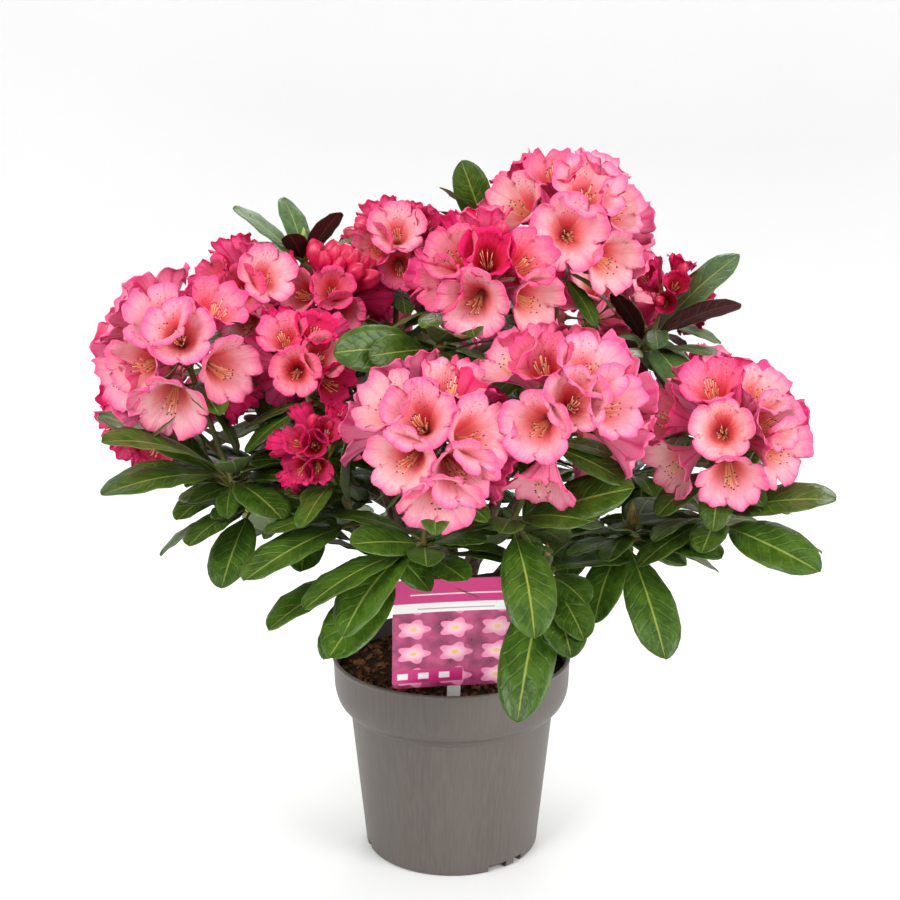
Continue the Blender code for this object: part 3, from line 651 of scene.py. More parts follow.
card_paint = Paint("label print", 0.28)
spot = card_paint.node("ShaderNodeUVMap", {"uv_map": "OFBake"})
across = (card_paint.node("ShaderNodeSeparateXYZ", None, {0: spot}, "X") * 2).maths("FRACT")
up = card_paint.node("ShaderNodeSeparateXYZ", None, {0: spot}, "Y")
tile_x = (across * 3.0).maths("FRACT") - 0.5
tile_y = ((up + 0.02) * 4.4).maths("FRACT") - 0.5
from_middle = (tile_x * tile_x + tile_y * tile_y).maths("SQRT")
petal_wave = (tile_y.maths("ARCTAN2", tile_x) * 5.0).maths("COSINE")
rosette = 1 - (from_middle - petal_wave * 0.07).step_from(0.34, 0.37)
eye = 1 - from_middle.step_from(0.07, 0.10)
shade = card_paint.cloud(card_paint.vector(across * 6, up * 6), 1.0, 3)
panel = card_paint.mix(shade.step_from(0.3, 0.7), (0.22, 0.020, 0.075), (0.56, 0.075, 0.22))
blush = card_paint.mix(from_middle.step_from(0.08, 0.36), (0.90, 0.58, 0.64), (0.84, 0.24, 0.44))
panel = card_paint.mix(rosette, panel, blush)
panel = card_paint.mix(eye, panel, (0.90, 0.52, 0.20))
strip_band = (1 - up.step_from(0.170, 0.174)) * up.step_from(0.045, 0.049)
tab_x = (across * 6.0).maths("FRACT") - 0.5
tab = (1 - abs(tab_x).step_from(0.24, 0.27)) * (1 - abs(up - 0.11).step_from(0.026, 0.030))
tab = tab * (1 - across.step_from(0.495, 0.505))
panel = card_paint.mix(strip_band * (1 - across.step_from(0.56, 0.57)), panel, MAGENTA)
panel = card_paint.mix(tab, panel, SOFT_WHITE)
colour = card_paint.mix(up.step_from(0.700, 0.704), panel, SOFT_WHITE)
rule = (1 - abs(up - 0.735).step_from(0.004, 0.006)) * (1 - abs(across - 0.5).step_from(0.30, 0.31))
colour = card_paint.mix(rule * 0.7, colour, (0.30, 0.08, 0.15))
colour = card_paint.mix(up.step_from(0.785, 0.789), colour, MAGENTA)
line = (1 - abs(up - 0.865).step_from(0.005, 0.007)) * (1 - abs(across - 0.5).step_from(0.36, 0.365))
colour = card_paint.mix(line * 0.85, colour, SOFT_WHITE)
print_finish = card_paint.finish(colour, 0.24 + shade * 0.1)
stick_paint = Paint("white stick plastic", 0.4)
stick_tone = stick_paint.cloud(stick_paint.place((1, 1, 0.2)), 120)
stick_colour = stick_paint.mix(stick_tone, (0.72, 0.72, 0.70), (0.84, 0.84, 0.82))
white_plastic = stick_paint.finish(stick_colour, 0.35 + stick_tone * 0.15)
stake = make_stick()
set_on(stake, "label_stick", "label_stick")
board = make_card()
shade_round(board)
set_on(board, "label_card", "label_card")

# The trunk and boughs are the shrub's old wood: grey-brown bark in fine long ridges, flared at the soil.
# Each bough leaves the limb below it with a swollen collar and tapers to where it enters its mass.
TRUNK_FOOT = Vector((0.0, 0.0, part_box("trunk")[0].z))
TRUNK_TOP = Vector((0.012, 0.006, 0.262))
TRUNK_BEND = Vector((-0.004, 0.003, 0.225))
TRUNK_RADII = (0.0125, 0.0100)
TRUNK_FLARE = 0.0072
FLARE_LENGTH = 0.011
TRUNK_SIDES = 26
BOUGH_SIDES = 16
TRUNK_RELIEF = 0.0030
BOUGH_RELIEF = 0.0016
BARK_STEP = 0.0018
BARK_FINENESS = 1.9
GRAIN_RUN = 34.0
BOUGHS = (
    ("top", "trunk", 1.00, 0.0088),
    ("left", "trunk", 0.74, 0.0064),
    ("front_left", "trunk", 0.87, 0.0060),
    ("right", "trunk", 0.50, 0.0064),
    ("back", "trunk", 0.62, 0.0062),
    ("back_right", "trunk", 0.36, 0.0060),
    ("heart", "top", 0.46, 0.0056),
    ("high_right", "top", 0.24, 0.0056),
    ("high_left", "left", 0.34, 0.0054),
    ("mid_left", "left", 0.62, 0.0048),
    ("front_right", "front_left", 0.36, 0.0050),
    ("back_left", "back", 0.34, 0.0056),
)
BOUGH_TIP_RADIUS = 0.0042
BOUGH_RISE = 0.10
BOUGH_SLEEVE = 0.005
BOUGH_STEPS = 5
STEM_LENGTH = 0.030
COLLAR = 0.30
COLLAR_LENGTH = 0.010
CLEAR = 0.0003


def shoot(whorl, truss=None, reach=0.070, blooms=(), leaves=(), more=5, rise=-8, length=0.10,
          tones="", fill="pr", buds=(), young=0):
    """One shoot: where its leaves spring from, its truss of blossom, and what is seen of both.

    A bloom is a bearing and a rise. A leaf is a bearing, a rise, a length in millimetres and, where
    it is rolled far about its midrib, the degrees of that.
    tones gives each seen bloom's colour, pale, rose or deep, or a b where it is still a few buds.
    fill gives the colours of the others in turn.
    young is how many of its leaves are this year's, with red undersides. buds are directions again.
    """
    centre = Vector(truss) if truss else None
    return dict(whorl=Vector(whorl), truss=centre, reach=reach, blooms=blooms, leaves=leaves, more=more,
                rise=rise, length=length, tones=tones, fill=fill, buds=buds, young=young)


MASSES = {
    "mass_top": dict(hub=(0.072, 0.036, 0.415), shoots=(
        shoot((0.095, 0.030, 0.480), (0.102, 0.020, 0.590), 0.082,
              blooms=((-44, 29), (0, 9), (19, 41), (44, 25), (33, -12), (-18, 59), (-96, 55), (64, 61)),
              more=8, rise=-2, tones="ppppprrp", fill="prp"),
        shoot((0.034, 0.100, 0.585), more=3, rise=30, length=0.075,
              leaves=((-53, 65, 85, -105), (-54, 42, 75), (-50, 25, 70))),
        shoot((0.066, 0.010, 0.440), more=6, rise=-4, length=0.10))),
    "mass_heart": dict(hub=(0.002, -0.038, 0.430), shoots=(
        shoot((-0.010, -0.066, 0.508), (0.032, -0.050, 0.556), 0.068,
              blooms=((-37, 32), (-2, 33), (39, 27), (-13, -8), (40, -8), (-41, 6)),
              leaves=((-58, 6, 100, -70), (-46, 2, 75, -60), (12, 18, 80)), more=3, rise=0,
              tones="rdrppr", fill="rd", buds=((-20, 58), (14, 62))),
        shoot((-0.015, -0.040, 0.450), more=5, rise=5, length=0.09))),
    "mass_high_left": dict(hub=(-0.085, 0.048, 0.425), shoots=(
        shoot((-0.110, 0.028, 0.455), (-0.114, 0.030, 0.531), 0.056,
              blooms=((8, 20), (46, 62), (15, -7), (-118, 80), (-31, 16)), more=6, rise=-4, length=0.09,
              tones="rbrbr", fill="rd", young=3,
              buds=((60, 60), (85, 48), (110, 60), (75, 75), (30, 55), (50, 42), (95, 72), (15, 70),
                    (-15, 60), (65, 30), (100, 35))),
        shoot((-0.055, 0.085, 0.490), (-0.052, 0.090, 0.567), 0.056,
              blooms=((-25, 16), (1, 35), (4, -9), (29, -24), (49, 41)), more=7, rise=0, length=0.09,
              tones="rprdd", fill="r",
              buds=((20, 66), (60, 10), (-70, 10), (-95, 25), (-60, 30), (-80, 45), (-110, 5))),
        shoot((-0.141, 0.060, 0.564), more=2, rise=20, length=0.07,
              leaves=((-149, 56, 75), (-63, 41, 95, -25), (-12, 36, 55), (54, 47, 70, -10)), young=4))),
    "mass_left": dict(hub=(-0.160, -0.022, 0.372), shoots=(
        shoot((-0.198, -0.070, 0.385), (-0.236, -0.060, 0.495), 0.074,
              blooms=((6, 26), (42, -4), (-5, -31), (-28, 2), (52, 48), (-14, 38), (-50, -14), (82, -40)),
              leaves=((-47, 3, 130), (-51, 23, 135), (-114, 22, 150), (-1, -22, 50)), more=5,
              tones="pppprppd", fill="pr"),
        shoot((-0.178, 0.018, 0.462), (-0.186, 0.020, 0.538), 0.056,
              blooms=((26, 27), (-3, 13), (-40, 23), (1, -31)), more=6, rise=4, length=0.09,
              tones="prrp", fill="r", buds=((-70, 50),)),
        shoot((-0.183, -0.058, 0.350), more=5, rise=-14, length=0.095,
              leaves=((-32, -8, 95), (-12, -30, 95), (20, 11, 50))))),
    "mass_mid_left": dict(hub=(-0.084, -0.090, 0.342), shoots=(
        shoot((-0.115, -0.068, 0.410), (-0.134, -0.070, 0.485), 0.056,
              blooms=((2, 7), (-17, 46), (33, 51), (30, 21), (42, -8)), more=5, rise=-4, length=0.08,
              tones="rrdrd", fill="dr", buds=((8, 30), (50, 38), (62, 12), (15, 76))),
        shoot((-0.087, -0.126, 0.368), (-0.115, -0.120, 0.423), 0.042,
              blooms=((1, 21), (-24, 25), (30, 24), (-19, -14), (14, -20)),
              leaves=((-42, -11, 125), (6, 69, 110, 75), (-128, -7, 90)), more=3, rise=-20, length=0.09,
              tones="ddddd", fill="d", buds=((5, 58), (40, 50))))),
    "mass_front_left": dict(hub=(-0.020, -0.100, 0.302), shoots=(
        shoot((-0.024, -0.150, 0.351), (-0.016, -0.170, 0.441), 0.070,
              blooms=((-49, 40), (-11, 32), (-21, -1), (36, 63), (7, -35), (22, -11), (37, 16), (90, 54)),
              leaves=((-43, 12, 85, -35), (-35, -24, 125), (-46, -9, 135)), more=3, rise=-20,
              tones="pppppppr", fill="pr"),
        shoot((-0.046, -0.096, 0.305), more=2, rise=-30, length=0.09,
              leaves=((-52, -8, 145), (-37, -26, 115), (-20, -41, 125), (-78, -18, 110))))),
    "mass_front_right": dict(hub=(0.060, -0.086, 0.300), shoots=(
        shoot((0.054, -0.130, 0.366), (0.090, -0.150, 0.460), 0.075,
              blooms=((-20, 3), (7, 22), (-26, 53), (37, 18), (-26, -53), (27, 45)),
              leaves=((12, -34, 120), (57, 22, 125, 38), (41, 9, 90, 20)), more=3, rise=-20,
              tones="pprppp", fill="p"),
        shoot((0.085, -0.080, 0.297), more=2, rise=-20, length=0.08,
              leaves=((-14, -38, 150), (22, -21, 90), (13, -27, 100), (26, -1, 80), (-45, 18, 60))))),
    "mass_right": dict(hub=(0.155, -0.034, 0.312), shoots=(
        shoot((0.240, -0.064, 0.350), (0.243, -0.070, 0.425), 0.070,
              blooms=((-33, 57), (-78, 19), (-13, 16), (-62, -21), (-4, -27), (36, 21), (42, -5), (37, 48)),
              leaves=((40, -10, 115, 35), (46, 18, 125, 20), (-17, -12, 75), (150, 56, 150), (144, 45, 140),
                      (130, 26, 120)), more=3, rise=-5, tones="rrppppppr", fill="pr"),
        shoot((0.166, -0.040, 0.325), more=4, rise=-14, length=0.09,
              leaves=((-27, -33, 100), (13, -38, 130), (46, 2, 105), (-47, -1, 75))))),
    "mass_high_right": dict(hub=(0.132, 0.094, 0.405), shoots=(
        shoot((0.191, 0.082, 0.482), (0.212, 0.100, 0.522), 0.044,
              blooms=((5, 32), (-2, -19), (-53, 40)),
              leaves=((85, 45, 125, 14), (58, 26, 105, -28), (53, 2, 80), (-57, 55, 70), (-65, 1, 40, -60),
                      (-16, -53, 65, 165), (135, -49, 70)), more=2, tones="ddd", fill="d",
              buds=((30, 62), (-25, 8)), young=10),
        shoot((0.130, 0.155, 0.410), (0.145, 0.180, 0.490), 0.070, more=8, rise=-4, fill="prp"))),
    "mass_back": dict(hub=(-0.010, 0.150, 0.375), shoots=(
        shoot((-0.024, 0.180, 0.430), (-0.030, 0.200, 0.510), 0.070, more=8, rise=-4, fill="rpr",
              buds=((170, 75),)),
        shoot((0.020, 0.215, 0.345), (0.030, 0.285, 0.400), 0.070, more=8, rise=-16, fill="p"),
        shoot((-0.004, 0.160, 0.300), more=8, rise=-18))),
    "mass_back_left": dict(hub=(-0.140, 0.112, 0.350), shoots=(
        shoot((-0.155, 0.145, 0.395), (-0.172, 0.175, 0.470), 0.070, more=8, rise=-4, fill="pprp"),
        shoot((-0.215, 0.080, 0.355), (-0.280, 0.085, 0.420), 0.068, more=8, rise=-12, fill="rd",
              buds=((-100, 60), (-140, 45))),
        shoot((-0.110, 0.190, 0.330), more=8, rise=-6),
        shoot((-0.150, 0.110, 0.300), more=6, rise=-20))),
    "mass_back_right": dict(hub=(0.140, 0.126, 0.325), shoots=(
        shoot((0.200, 0.140, 0.335), (0.265, 0.155, 0.395), 0.068, more=8, rise=-12, fill="pr"),
        shoot((0.140, 0.195, 0.325), more=8, rise=-6),
        shoot((0.145, 0.120, 0.285), more=7, rise=-20))),
}


def bend(start, middle, end, steps):
    """Points on one smooth bend from start to end, drawn towards middle."""
    points = []
    for step in range(steps + 1):
        t = step / steps
        points.append(start * (1 - t) ** 2 + middle * 2 * t * (1 - t) + end * t ** 2)
    return points


def taper(first, last, count):
    return [first + (last - first) * step / (count - 1) for step in range(count)]


def plan_boughs():
    """Each limb's middle line and radii. A mass' stem starts where its bough ends."""
    routes = {"trunk": (bend(TRUNK_FOOT, TRUNK_BEND, TRUNK_TOP, 20), taper(*TRUNK_RADII, 21))}
    for name, parent, share, radius in BOUGHS:
        line, _ = routes[parent]
        place = share * (len(line) - 1)
        first = min(int(place), len(line) - 2)
        start = line[first].lerp(line[first + 1], place - first)
        along = (line[first + 1] - line[first]).normalized()
        mass = MASSES["mass_" + name]
        hub = Vector(mass["hub"])
        if share == 1.0:
            start = start + along * (CLEAR + BOUGH_SLEEVE)
        middle = start.lerp(hub, 0.5) + along * BOUGH_RISE * (hub - start).length
        whole = bend(start, middle, hub, 24)
        length, back = 0.0, 24
        while length < STEM_LENGTH and back > 1:
            length += (whole[back] - whole[back - 1]).length
            back -= 1
        route = bend(start, start.lerp(middle, back / 24), whole[back], BOUGH_STEPS)
        if share == 1.0:
            route.insert(0, start - along * BOUGH_SLEEVE)
        routes[name] = (route, taper(radius, BOUGH_TIP_RADIUS, len(route)))
        mass["onward"] = (route[-1] - route[-2]).normalized()
        mass["stem"] = route[-1] + mass["onward"] * CLEAR
    return routes


def limb_tree():
    """Sweeps a round section along a curve at its own radius and raises the bark's ridges along it."""
    tree = Tree("limb", Sides="Int", Step="Float", Relief="Float", Fineness="Float")
    line = tree.node("GeometryNodeResampleCurve", {"mode": "LENGTH"},
                     {"Curve": tree.given["Geometry"], "Length": tree.given["Step"]})
    run = tree.node("GeometryNodeSplineParameter", None, None, "Length")
    part = tree.node("GeometryNodeSplineParameter", None, None, "Factor")
    line = tree.keep(tree.keep(line, "run", run), "part", part)
    ring = tree.node("GeometryNodeCurvePrimitiveCircle", None, {"Resolution": tree.given["Sides"], 4: 1.0})
    ring = tree.keep(ring, "round", part)
    swept = tree.node("GeometryNodeCurveToMesh", None,
                      {"Curve": line, "Profile Curve": ring, "Scale": tree.node("GeometryNodeInputRadius"),
                       "Fill Caps": True})
    turn = tree.maths("MULTIPLY", tree.named("round"), 2 * math.pi)
    grain = tree.node("ShaderNodeCombineXYZ", None,
                      {0: tree.maths("COSINE", turn), 1: tree.maths("SINE", turn),
                       2: tree.maths("MULTIPLY", tree.named("run"), GRAIN_RUN)})
    swept = tree.keep(swept, "grain", grain, "FLOAT_VECTOR")
    stored = tree.named("grain", "FLOAT_VECTOR")
    ridges = tree.node("ShaderNodeTexNoise", None,
                       {"Vector": stored, "Scale": tree.given["Fineness"], "Detail": 4.0, "Roughness": 0.6})
    rise = tree.maths("MULTIPLY", tree.maths("SUBTRACT", ridges, 0.5), tree.given["Relief"])
    out = tree.node("ShaderNodeVectorMath", {"operation": "SCALE"},
                    {0: tree.node("GeometryNodeInputNormal"), "Scale": rise})
    tree.close(tree.node("GeometryNodeSetPosition", None, {"Geometry": swept, "Offset": out}))
    return tree


def limb_curve(name, lines):
    """One curve of open splines, each a list of points with their radii."""
    data = bpy.data.curves.new(name, "CURVE")
    data.dimensions = "3D"
    for points, radii in lines:
        spline = data.splines.new("BEZIER")
        spline.bezier_points.add(len(points) - 1)
        for knot, point, radius in zip(spline.bezier_points, points, radii):
            knot.co, knot.radius = point, radius
            knot.handle_left_type = knot.handle_right_type = "AUTO"
    piece = bpy.data.objects.new(name, data)
    scene.collection.objects.link(piece)
    return piece


bark_paint = Paint("old bark", 0.85, Specular_IOR_Level=0.25)
bark_grain = bark_paint.node("ShaderNodeAttribute", {"attribute_name": "grain"}, None, "Vector")
ridge = bark_paint.cloud(bark_grain, 2.6, 6, 0.65)
patch = bark_paint.cloud(bark_paint.place(), 55, 2)
bark_colour = bark_paint.mix(ridge.step_from(0.34, 0.68), (0.032, 0.019, 0.011), (0.185, 0.125, 0.082))
bark_colour = bark_paint.mix(patch.step_from(0.5, 0.75) * 0.35, bark_colour, (0.20, 0.18, 0.13))
bark = bark_paint.finish(bark_colour, 0.75 + ridge * 0.2, ridge, 0.0012)

routes = plan_boughs()
limb = limb_tree()
for name, (points, radii) in routes.items():
    away = [(point - points[0]).length for point in points]
    if name == "trunk":
        node, sides, relief = name, TRUNK_SIDES, TRUNK_RELIEF
        swollen = [radius + TRUNK_FLARE * math.exp(-far / FLARE_LENGTH) for radius, far in zip(radii, away)]
    else:
        node, sides, relief = "bough_" + name, BOUGH_SIDES, BOUGH_RELIEF
        ahead = MASSES["mass_" + name]
        points = points + [ahead["stem"] + ahead["onward"] * 0.002]
        swollen = [radius * (1 + COLLAR * math.exp(-far / COLLAR_LENGTH)) for radius, far in zip(radii, away)]
        swollen.append(BOUGH_TIP_RADIUS)
    course = limb_curve(node + "_bark", [(points, swollen)])
    wood = limb.run(course, Sides=sides, Step=BARK_STEP, Relief=relief, Fineness=BARK_FINENESS, Finish=bark)
    wood.data.shade_smooth()
    set_on(wood, "bark", node)

# The shoots are the younger wood inside each mass: one stem from the bough, and a twig from it to each
# whorl. They are brown below and green towards the leaves. A truss stands on a green stalk above its whorl.
TWIG_RADIUS = 0.0032
SHOOT_RADIUS = 0.0027
STEM_RADIUS = 0.0037
RACHIS_RADIUS = 0.0060
TWIG_STEPS = 3


def tube(points, radii, sides):
    """A closed round limb along points, with flat ends."""
    across = (points[1] - points[0]).orthogonal().normalized()
    verts = []
    for index, point in enumerate(points):
        before, after = points[max(index - 1, 0)], points[min(index + 1, len(points) - 1)]
        along = (after - before).normalized()
        across = (across - along * across.dot(along)).normalized()
        other = along.cross(across)
        verts += [point + (across * x + other * y) * radii[index] for x, y in around(sides)]
    return verts, capped(len(points), sides)


def plan_twigs(mass):
    """The middle lines and radii of a mass' stem, its twigs, and the stalks of its trusses."""
    hub, stem = Vector(mass["hub"]), mass["stem"]
    straight = stem + mass["onward"] * BOUGH_SLEEVE
    stems = [([stem, straight, straight.lerp(hub, 0.5), hub],
              [BOUGH_TIP_RADIUS, BOUGH_TIP_RADIUS, STEM_RADIUS, STEM_RADIUS])]
    start, onward = stem.lerp(hub, 0.8), (hub - stem).normalized()
    twigs, stalks = [], []
    for growth in mass["shoots"]:
        whorl, centre = growth["whorl"], growth["truss"]
        middle = start.lerp(whorl, 0.5) + onward * 0.25 * (whorl - start).length
        line = bend(start, middle, whorl, TWIG_STEPS)
        twigs.append((line, taper(TWIG_RADIUS, SHOOT_RADIUS, TWIG_STEPS + 1)))
        axis = growth["axis"] = (centre - whorl if centre else line[-1] - line[-2]).normalized()
        if centre:
            line = [whorl - axis * 0.003, centre - axis * 0.016, centre - axis * 0.005, centre + axis * 0.005]
            stalks.append((line, [SHOOT_RADIUS, SHOOT_RADIUS, RACHIS_RADIUS, RACHIS_RADIUS]))
    return stems, twigs, stalks


twig_paint = Paint("young wood", 0.6, Specular_IOR_Level=0.4)
twig_part = twig_paint.node("ShaderNodeAttribute", {"attribute_name": "part"}, None, "Fac")
twig_fleck = twig_paint.cloud(twig_paint.place(), 420, 3)
twig_colour = twig_paint.mix(twig_fleck, (0.070, 0.036, 0.018), (0.165, 0.098, 0.055))
twig_green = twig_paint.mix(twig_fleck, (0.085, 0.135, 0.028), (0.170, 0.120, 0.050))
twig_colour = twig_paint.mix(twig_part.step_from(0.45, 0.95), twig_colour, twig_green)
young_wood = twig_paint.finish(twig_colour, 0.55 + twig_fleck * 0.2, twig_fleck, 0.0005)
stalk_green = flecked("truss stalk", 0.5, 300, (0.35, 0.65), (0.120, 0.200, 0.035), (0.230, 0.110, 0.055),
                      0.0004)
all_stems, all_stalks = [], []
for mass in MASSES.values():
    stems, twigs, stalks = plan_twigs(mass)
    all_stems += stems + twigs
    all_stalks += stalks
shoots = limb.run(limb_curve("shoots", all_stems), Sides=8, Step=0.004, Relief=0.0007, Fineness=1.6,
                  Finish=young_wood)
shoots.data.shade_smooth()
set_on(shoots, "bark", *MASSES)
stalks = limb.run(limb_curve("truss_stalks", all_stalks), Sides=8, Step=0.003, Relief=0.0008, Fineness=1.2,
                  Finish=stalk_green)
stalks.data.shade_smooth()
set_on(stalks, "foliage")

# The leaves stand in whorls at the shoots' ends. They are leathery, dark and glossy above, with a pale
# midrib that is sunk on top and stands out below. Last year's are dull green below, this year's dark red.
LEAF_WIDTH = 0.37
LEAF_SAG = 0.07
LEAF_THICKNESS = 0.016
LEAF_STATIONS = ((0.15, 0.10), (0.45, 0.97), (0.76, 0.84))
BLOOM_RADIUS = 0.0290
BLOOM_DEPTH = 0.042
BLOOM_FULL_REACH = 0.070
BLOOM_SPACING = 43.0
TRUSS_POINTS = 20
WHORL_TOP = -0.0015
WHORL_GAP = 24.0
WHORL_SPAN = (-0.010, 0.002)
LEAF_SPREAD = 14.0
LEAF_LENGTHS = (0.85, 1.1)
TRUSS_BACK = -0.55
CROWN_BACK = -0.45
SEED = 7
LEAF_SEED = 11
BLOOM_SEED = 23
GOLDEN_ANGLE = 137.5
CROWN_MIDDLE = Vector((0, 0, 0.36))
LEAF_ROWS = (0.0, 0.05, 0.10, 0.135, 0.17, 0.23, 0.31, 0.40, 0.50, 0.60, 0.70, 0.79, 0.87, 0.93, 0.97, 0.99,
             1.0)
BLADE_WIDTH = 0.42
LEAF_COLUMNS = (-1.0, -0.72, -0.38, 0.0, 0.38, 0.72, 1.0)
BLADE_START = 0.135
LEAF_KINDS = 8
SLIM_LENGTH = 0.105


def leaf_frame(bearing, rise, roll):
    """Across, along and above a leaf that points at this bearing and rise."""
    along, upper = heading(bearing, rise), heading(bearing + 180, 90 - rise)
    side, tilt = along.cross(upper), math.radians(roll)
    across = side * math.cos(tilt) - upper * math.sin(tilt)
    return across, along, upper * math.cos(tilt) + side * math.sin(tilt)


def leaf_room(root, bearing, rise, length, roll, spare=0.0):
    """The plain solid of a leaf, which keeps its space clear."""
    side, along, upper = leaf_frame(bearing, rise, roll)
    half, thick = length * LEAF_WIDTH / 2 + spare, length * LEAF_THICKNESS + spare
    verts, faces = [root.copy()], []
    for share, swell in LEAF_STATIONS:
        spine = root + along * length * share + upper * length * LEAF_SAG * 4 * share * (1 - share)
        verts += [spine - side * half * swell + upper * spare, spine + side * half * swell + upper * spare,
                  spine - upper * thick]
    tip = len(verts)
    verts.append(root + along * (length + spare))
    for corner in range(3):
        after = (corner + 1) % 3
        faces.append((0, 1 + after, 1 + corner))
        for ring in range(1, tip - 3, 3):
            faces.append((ring + corner, ring + after, ring + 3 + after, ring + 3 + corner))
        faces.append((tip, tip - 3 + corner, tip - 3 + after))
    return verts, faces


def bloom_frame(facing):
    """Right, up and out of a bloom that faces this way."""
    upward = Vector((0, 0, 1)) - facing * facing.z
    if upward.length < 0.05:
        upward = Vector((0, 1, 0)) - facing * facing.y
    upward.normalize()
    return upward.cross(facing), upward, facing


def bloom_size(reach):
    """A bloom's size as a share of the full one. Those on short stalks are smaller."""
    return min(1.0, reach / BLOOM_FULL_REACH)


def bloom_room(centre, facing, reach, spare=0.0):
    """The plain solid of a bloom on its stalk, which keeps its space clear."""
    size = bloom_size(reach)
    depth, radius = BLOOM_DEPTH * size, BLOOM_RADIUS * size + spare
    side, upward, _ = bloom_frame(facing)

    def ring(distance, wide):
        turns = [math.radians(72 * lobe) for lobe in range(5)]
        return [centre + facing * distance + (upward * math.cos(turn) + side * math.sin(turn)) * wide
                for turn in turns]

    verts = [centre.copy()] + ring(reach - depth, 0.0042 + spare) + ring(reach, radius)
    verts.append(centre + facing * (reach - depth * 0.42))
    faces = []
    for lobe in range(5):
        after = (lobe + 1) % 5
        faces.append((0, 1 + after, 1 + lobe))
        faces.append((1 + lobe, 1 + after, 6 + after, 6 + lobe))
        faces.append((11, 6 + lobe, 6 + after))
    return verts, faces


def reach_of(form):
    """The lowest and the highest of each coordinate."""
    columns = list(zip(*form[0]))
    return [min(column) for column in columns], [max(column) for column in columns]


class Room:
    """What already stands in the crown, so that nothing new touches it."""

    def __init__(self):
        self.taken = []

    def add(self, form, mass, part, kind):
        self.taken.append((reach_of(form), BVHTree.FromPolygons(*form), mass, part, kind))

    def free(self, form, mass, part, kind):
        low, high = reach_of(form)
        tree = BVHTree.FromPolygons(*form)
        for (other_low, other_high), other, its_mass, its_part, its_kind in self.taken:
            if its_mass == mass and (its_kind == "wood" or (its_part, its_kind) == (part, kind)):
                continue
            if any(low[a] > other_high[a] or high[a] < other_low[a] for a in range(3)):
                continue
            if tree.overlap(other):
                return False
        return True


def nudges():
    """Small changes of bearing, rise and length that are tried until a leaf or bloom fits."""
    for shrink in (1.0, 0.88):
        for rise in (0, 7, -7, 14, -14, 22, -22):
            for bearing in (0, 9, -9):
                yield bearing, rise, shrink


def set_leaf(room, name, part, growth, wanted, dice):
    bearing, rise, length, tilt = wanted
    back = dice.uniform(*WHORL_SPAN)
    root = growth["whorl"] + growth["axis"] * (back if growth["truss"] else min(back, WHORL_TOP))
    roll = tilt + dice.uniform(-LEAF_SPREAD, LEAF_SPREAD)
    for turn, lift, shrink in nudges():
        leaf = (root, bearing + turn, rise + lift, length * shrink, roll)
        if room.free(leaf_room(*leaf, 2 * CLEAR), name, part, "leaf"):
            room.add(leaf_room(*leaf), name, part, "leaf")
            return leaf
    return None


def set_bloom(room, name, part, growth, wanted):
    bearing, rise = wanted
    for turn, lift, shrink in nudges():
        bloom = (growth["truss"], heading(bearing + turn, rise + lift), growth["reach"] * shrink)
        if room.free(bloom_room(*bloom, 2 * CLEAR), name, part, "bloom"):
            room.add(bloom_room(*bloom), name, part, "bloom")
            return bloom
    return None


def whorl_bearings(leaves, more, dice):
    """Bearings for further leaves, a golden angle apart and clear of those already there."""
    taken, found = [leaf[0] for leaf in leaves], []
    bearing = dice.uniform(0, 360)
    for _ in range(60):
        if len(found) == more:
            break
        bearing = (bearing + GOLDEN_ANGLE) % 360
        if all(abs((bearing - other + 180) % 360 - 180) > WHORL_GAP for other in taken):
            taken.append(bearing)
            found.append(bearing)
    return found


def truss_directions(growth):
    """Further directions for blooms, spread evenly over the truss where none is seen."""
    axis, outward = growth["axis"], (growth["truss"] - CROWN_MIDDLE).normalized()
    taken, found = [heading(*bloom) for bloom in growth["blooms"]], []
    spacing = BLOOM_SPACING * min(1.0, BLOOM_FULL_REACH / growth["reach"])
    for point in range(TRUSS_POINTS):
        height, angle = 1 - 2 * (point + 0.5) / TRUSS_POINTS, math.radians(GOLDEN_ANGLE * point)
        level = math.sqrt(1 - height * height)
        facing = Vector((level * math.cos(angle), level * math.sin(angle), height))
        if facing.dot(axis) < TRUSS_BACK or facing.dot(outward) < CROWN_BACK:
            continue
        if all(math.degrees(facing.angle(other)) > spacing for other in taken):
            taken.append(facing)
            found.append(facing)
    return found


def each_shoot():
    for name, mass in MASSES.items():
        for part, growth in enumerate(mass["shoots"]):
            yield name, part, growth


def grow_masses(room):
    """Every leaf and bloom of every mass: first those that are seen, then those that fill."""
    dice = random.Random(SEED)
    leaves, blooms = [], []
    for name, part, growth in each_shoot():
        for order, (bearing, rise, length, *tilt) in enumerate(growth["leaves"]):
            leaf = set_leaf(room, name, part, growth, (bearing, rise, length / 1000, sum(tilt)), dice)
            if leaf:
                leaves.append((leaf, order < growth["young"]))
    for name, part, growth in each_shoot():
        for wanted, tone in zip(growth["blooms"], growth["tones"]):
            bloom = set_bloom(room, name, part, growth, wanted)
            if bloom:
                blooms.append((bloom, tone, growth))
    for name, part, growth in each_shoot():
        if growth["truss"]:
            for order, facing in enumerate(truss_directions(growth)):
                wanted = (math.degrees(math.atan2(facing.x, -facing.y)), math.degrees(math.asin(facing.z)))
                bloom = set_bloom(room, name, part, growth, wanted)
                if bloom:
                    blooms.append((bloom, growth["fill"][order % len(growth["fill"])], growth))
    for name, part, growth in each_shoot():
        for bearing in whorl_bearings(growth["leaves"], growth["more"], dice):
            rise = growth["rise"] + dice.uniform(-LEAF_SPREAD, LEAF_SPREAD)
            length = growth["length"] * dice.uniform(*LEAF_LENGTHS)
            leaf = set_leaf(room, name, part, growth, (bearing, rise, length, 0), dice)
            if leaf:
                leaves.append((leaf, growth["young"] > 5))
    return leaves, blooms


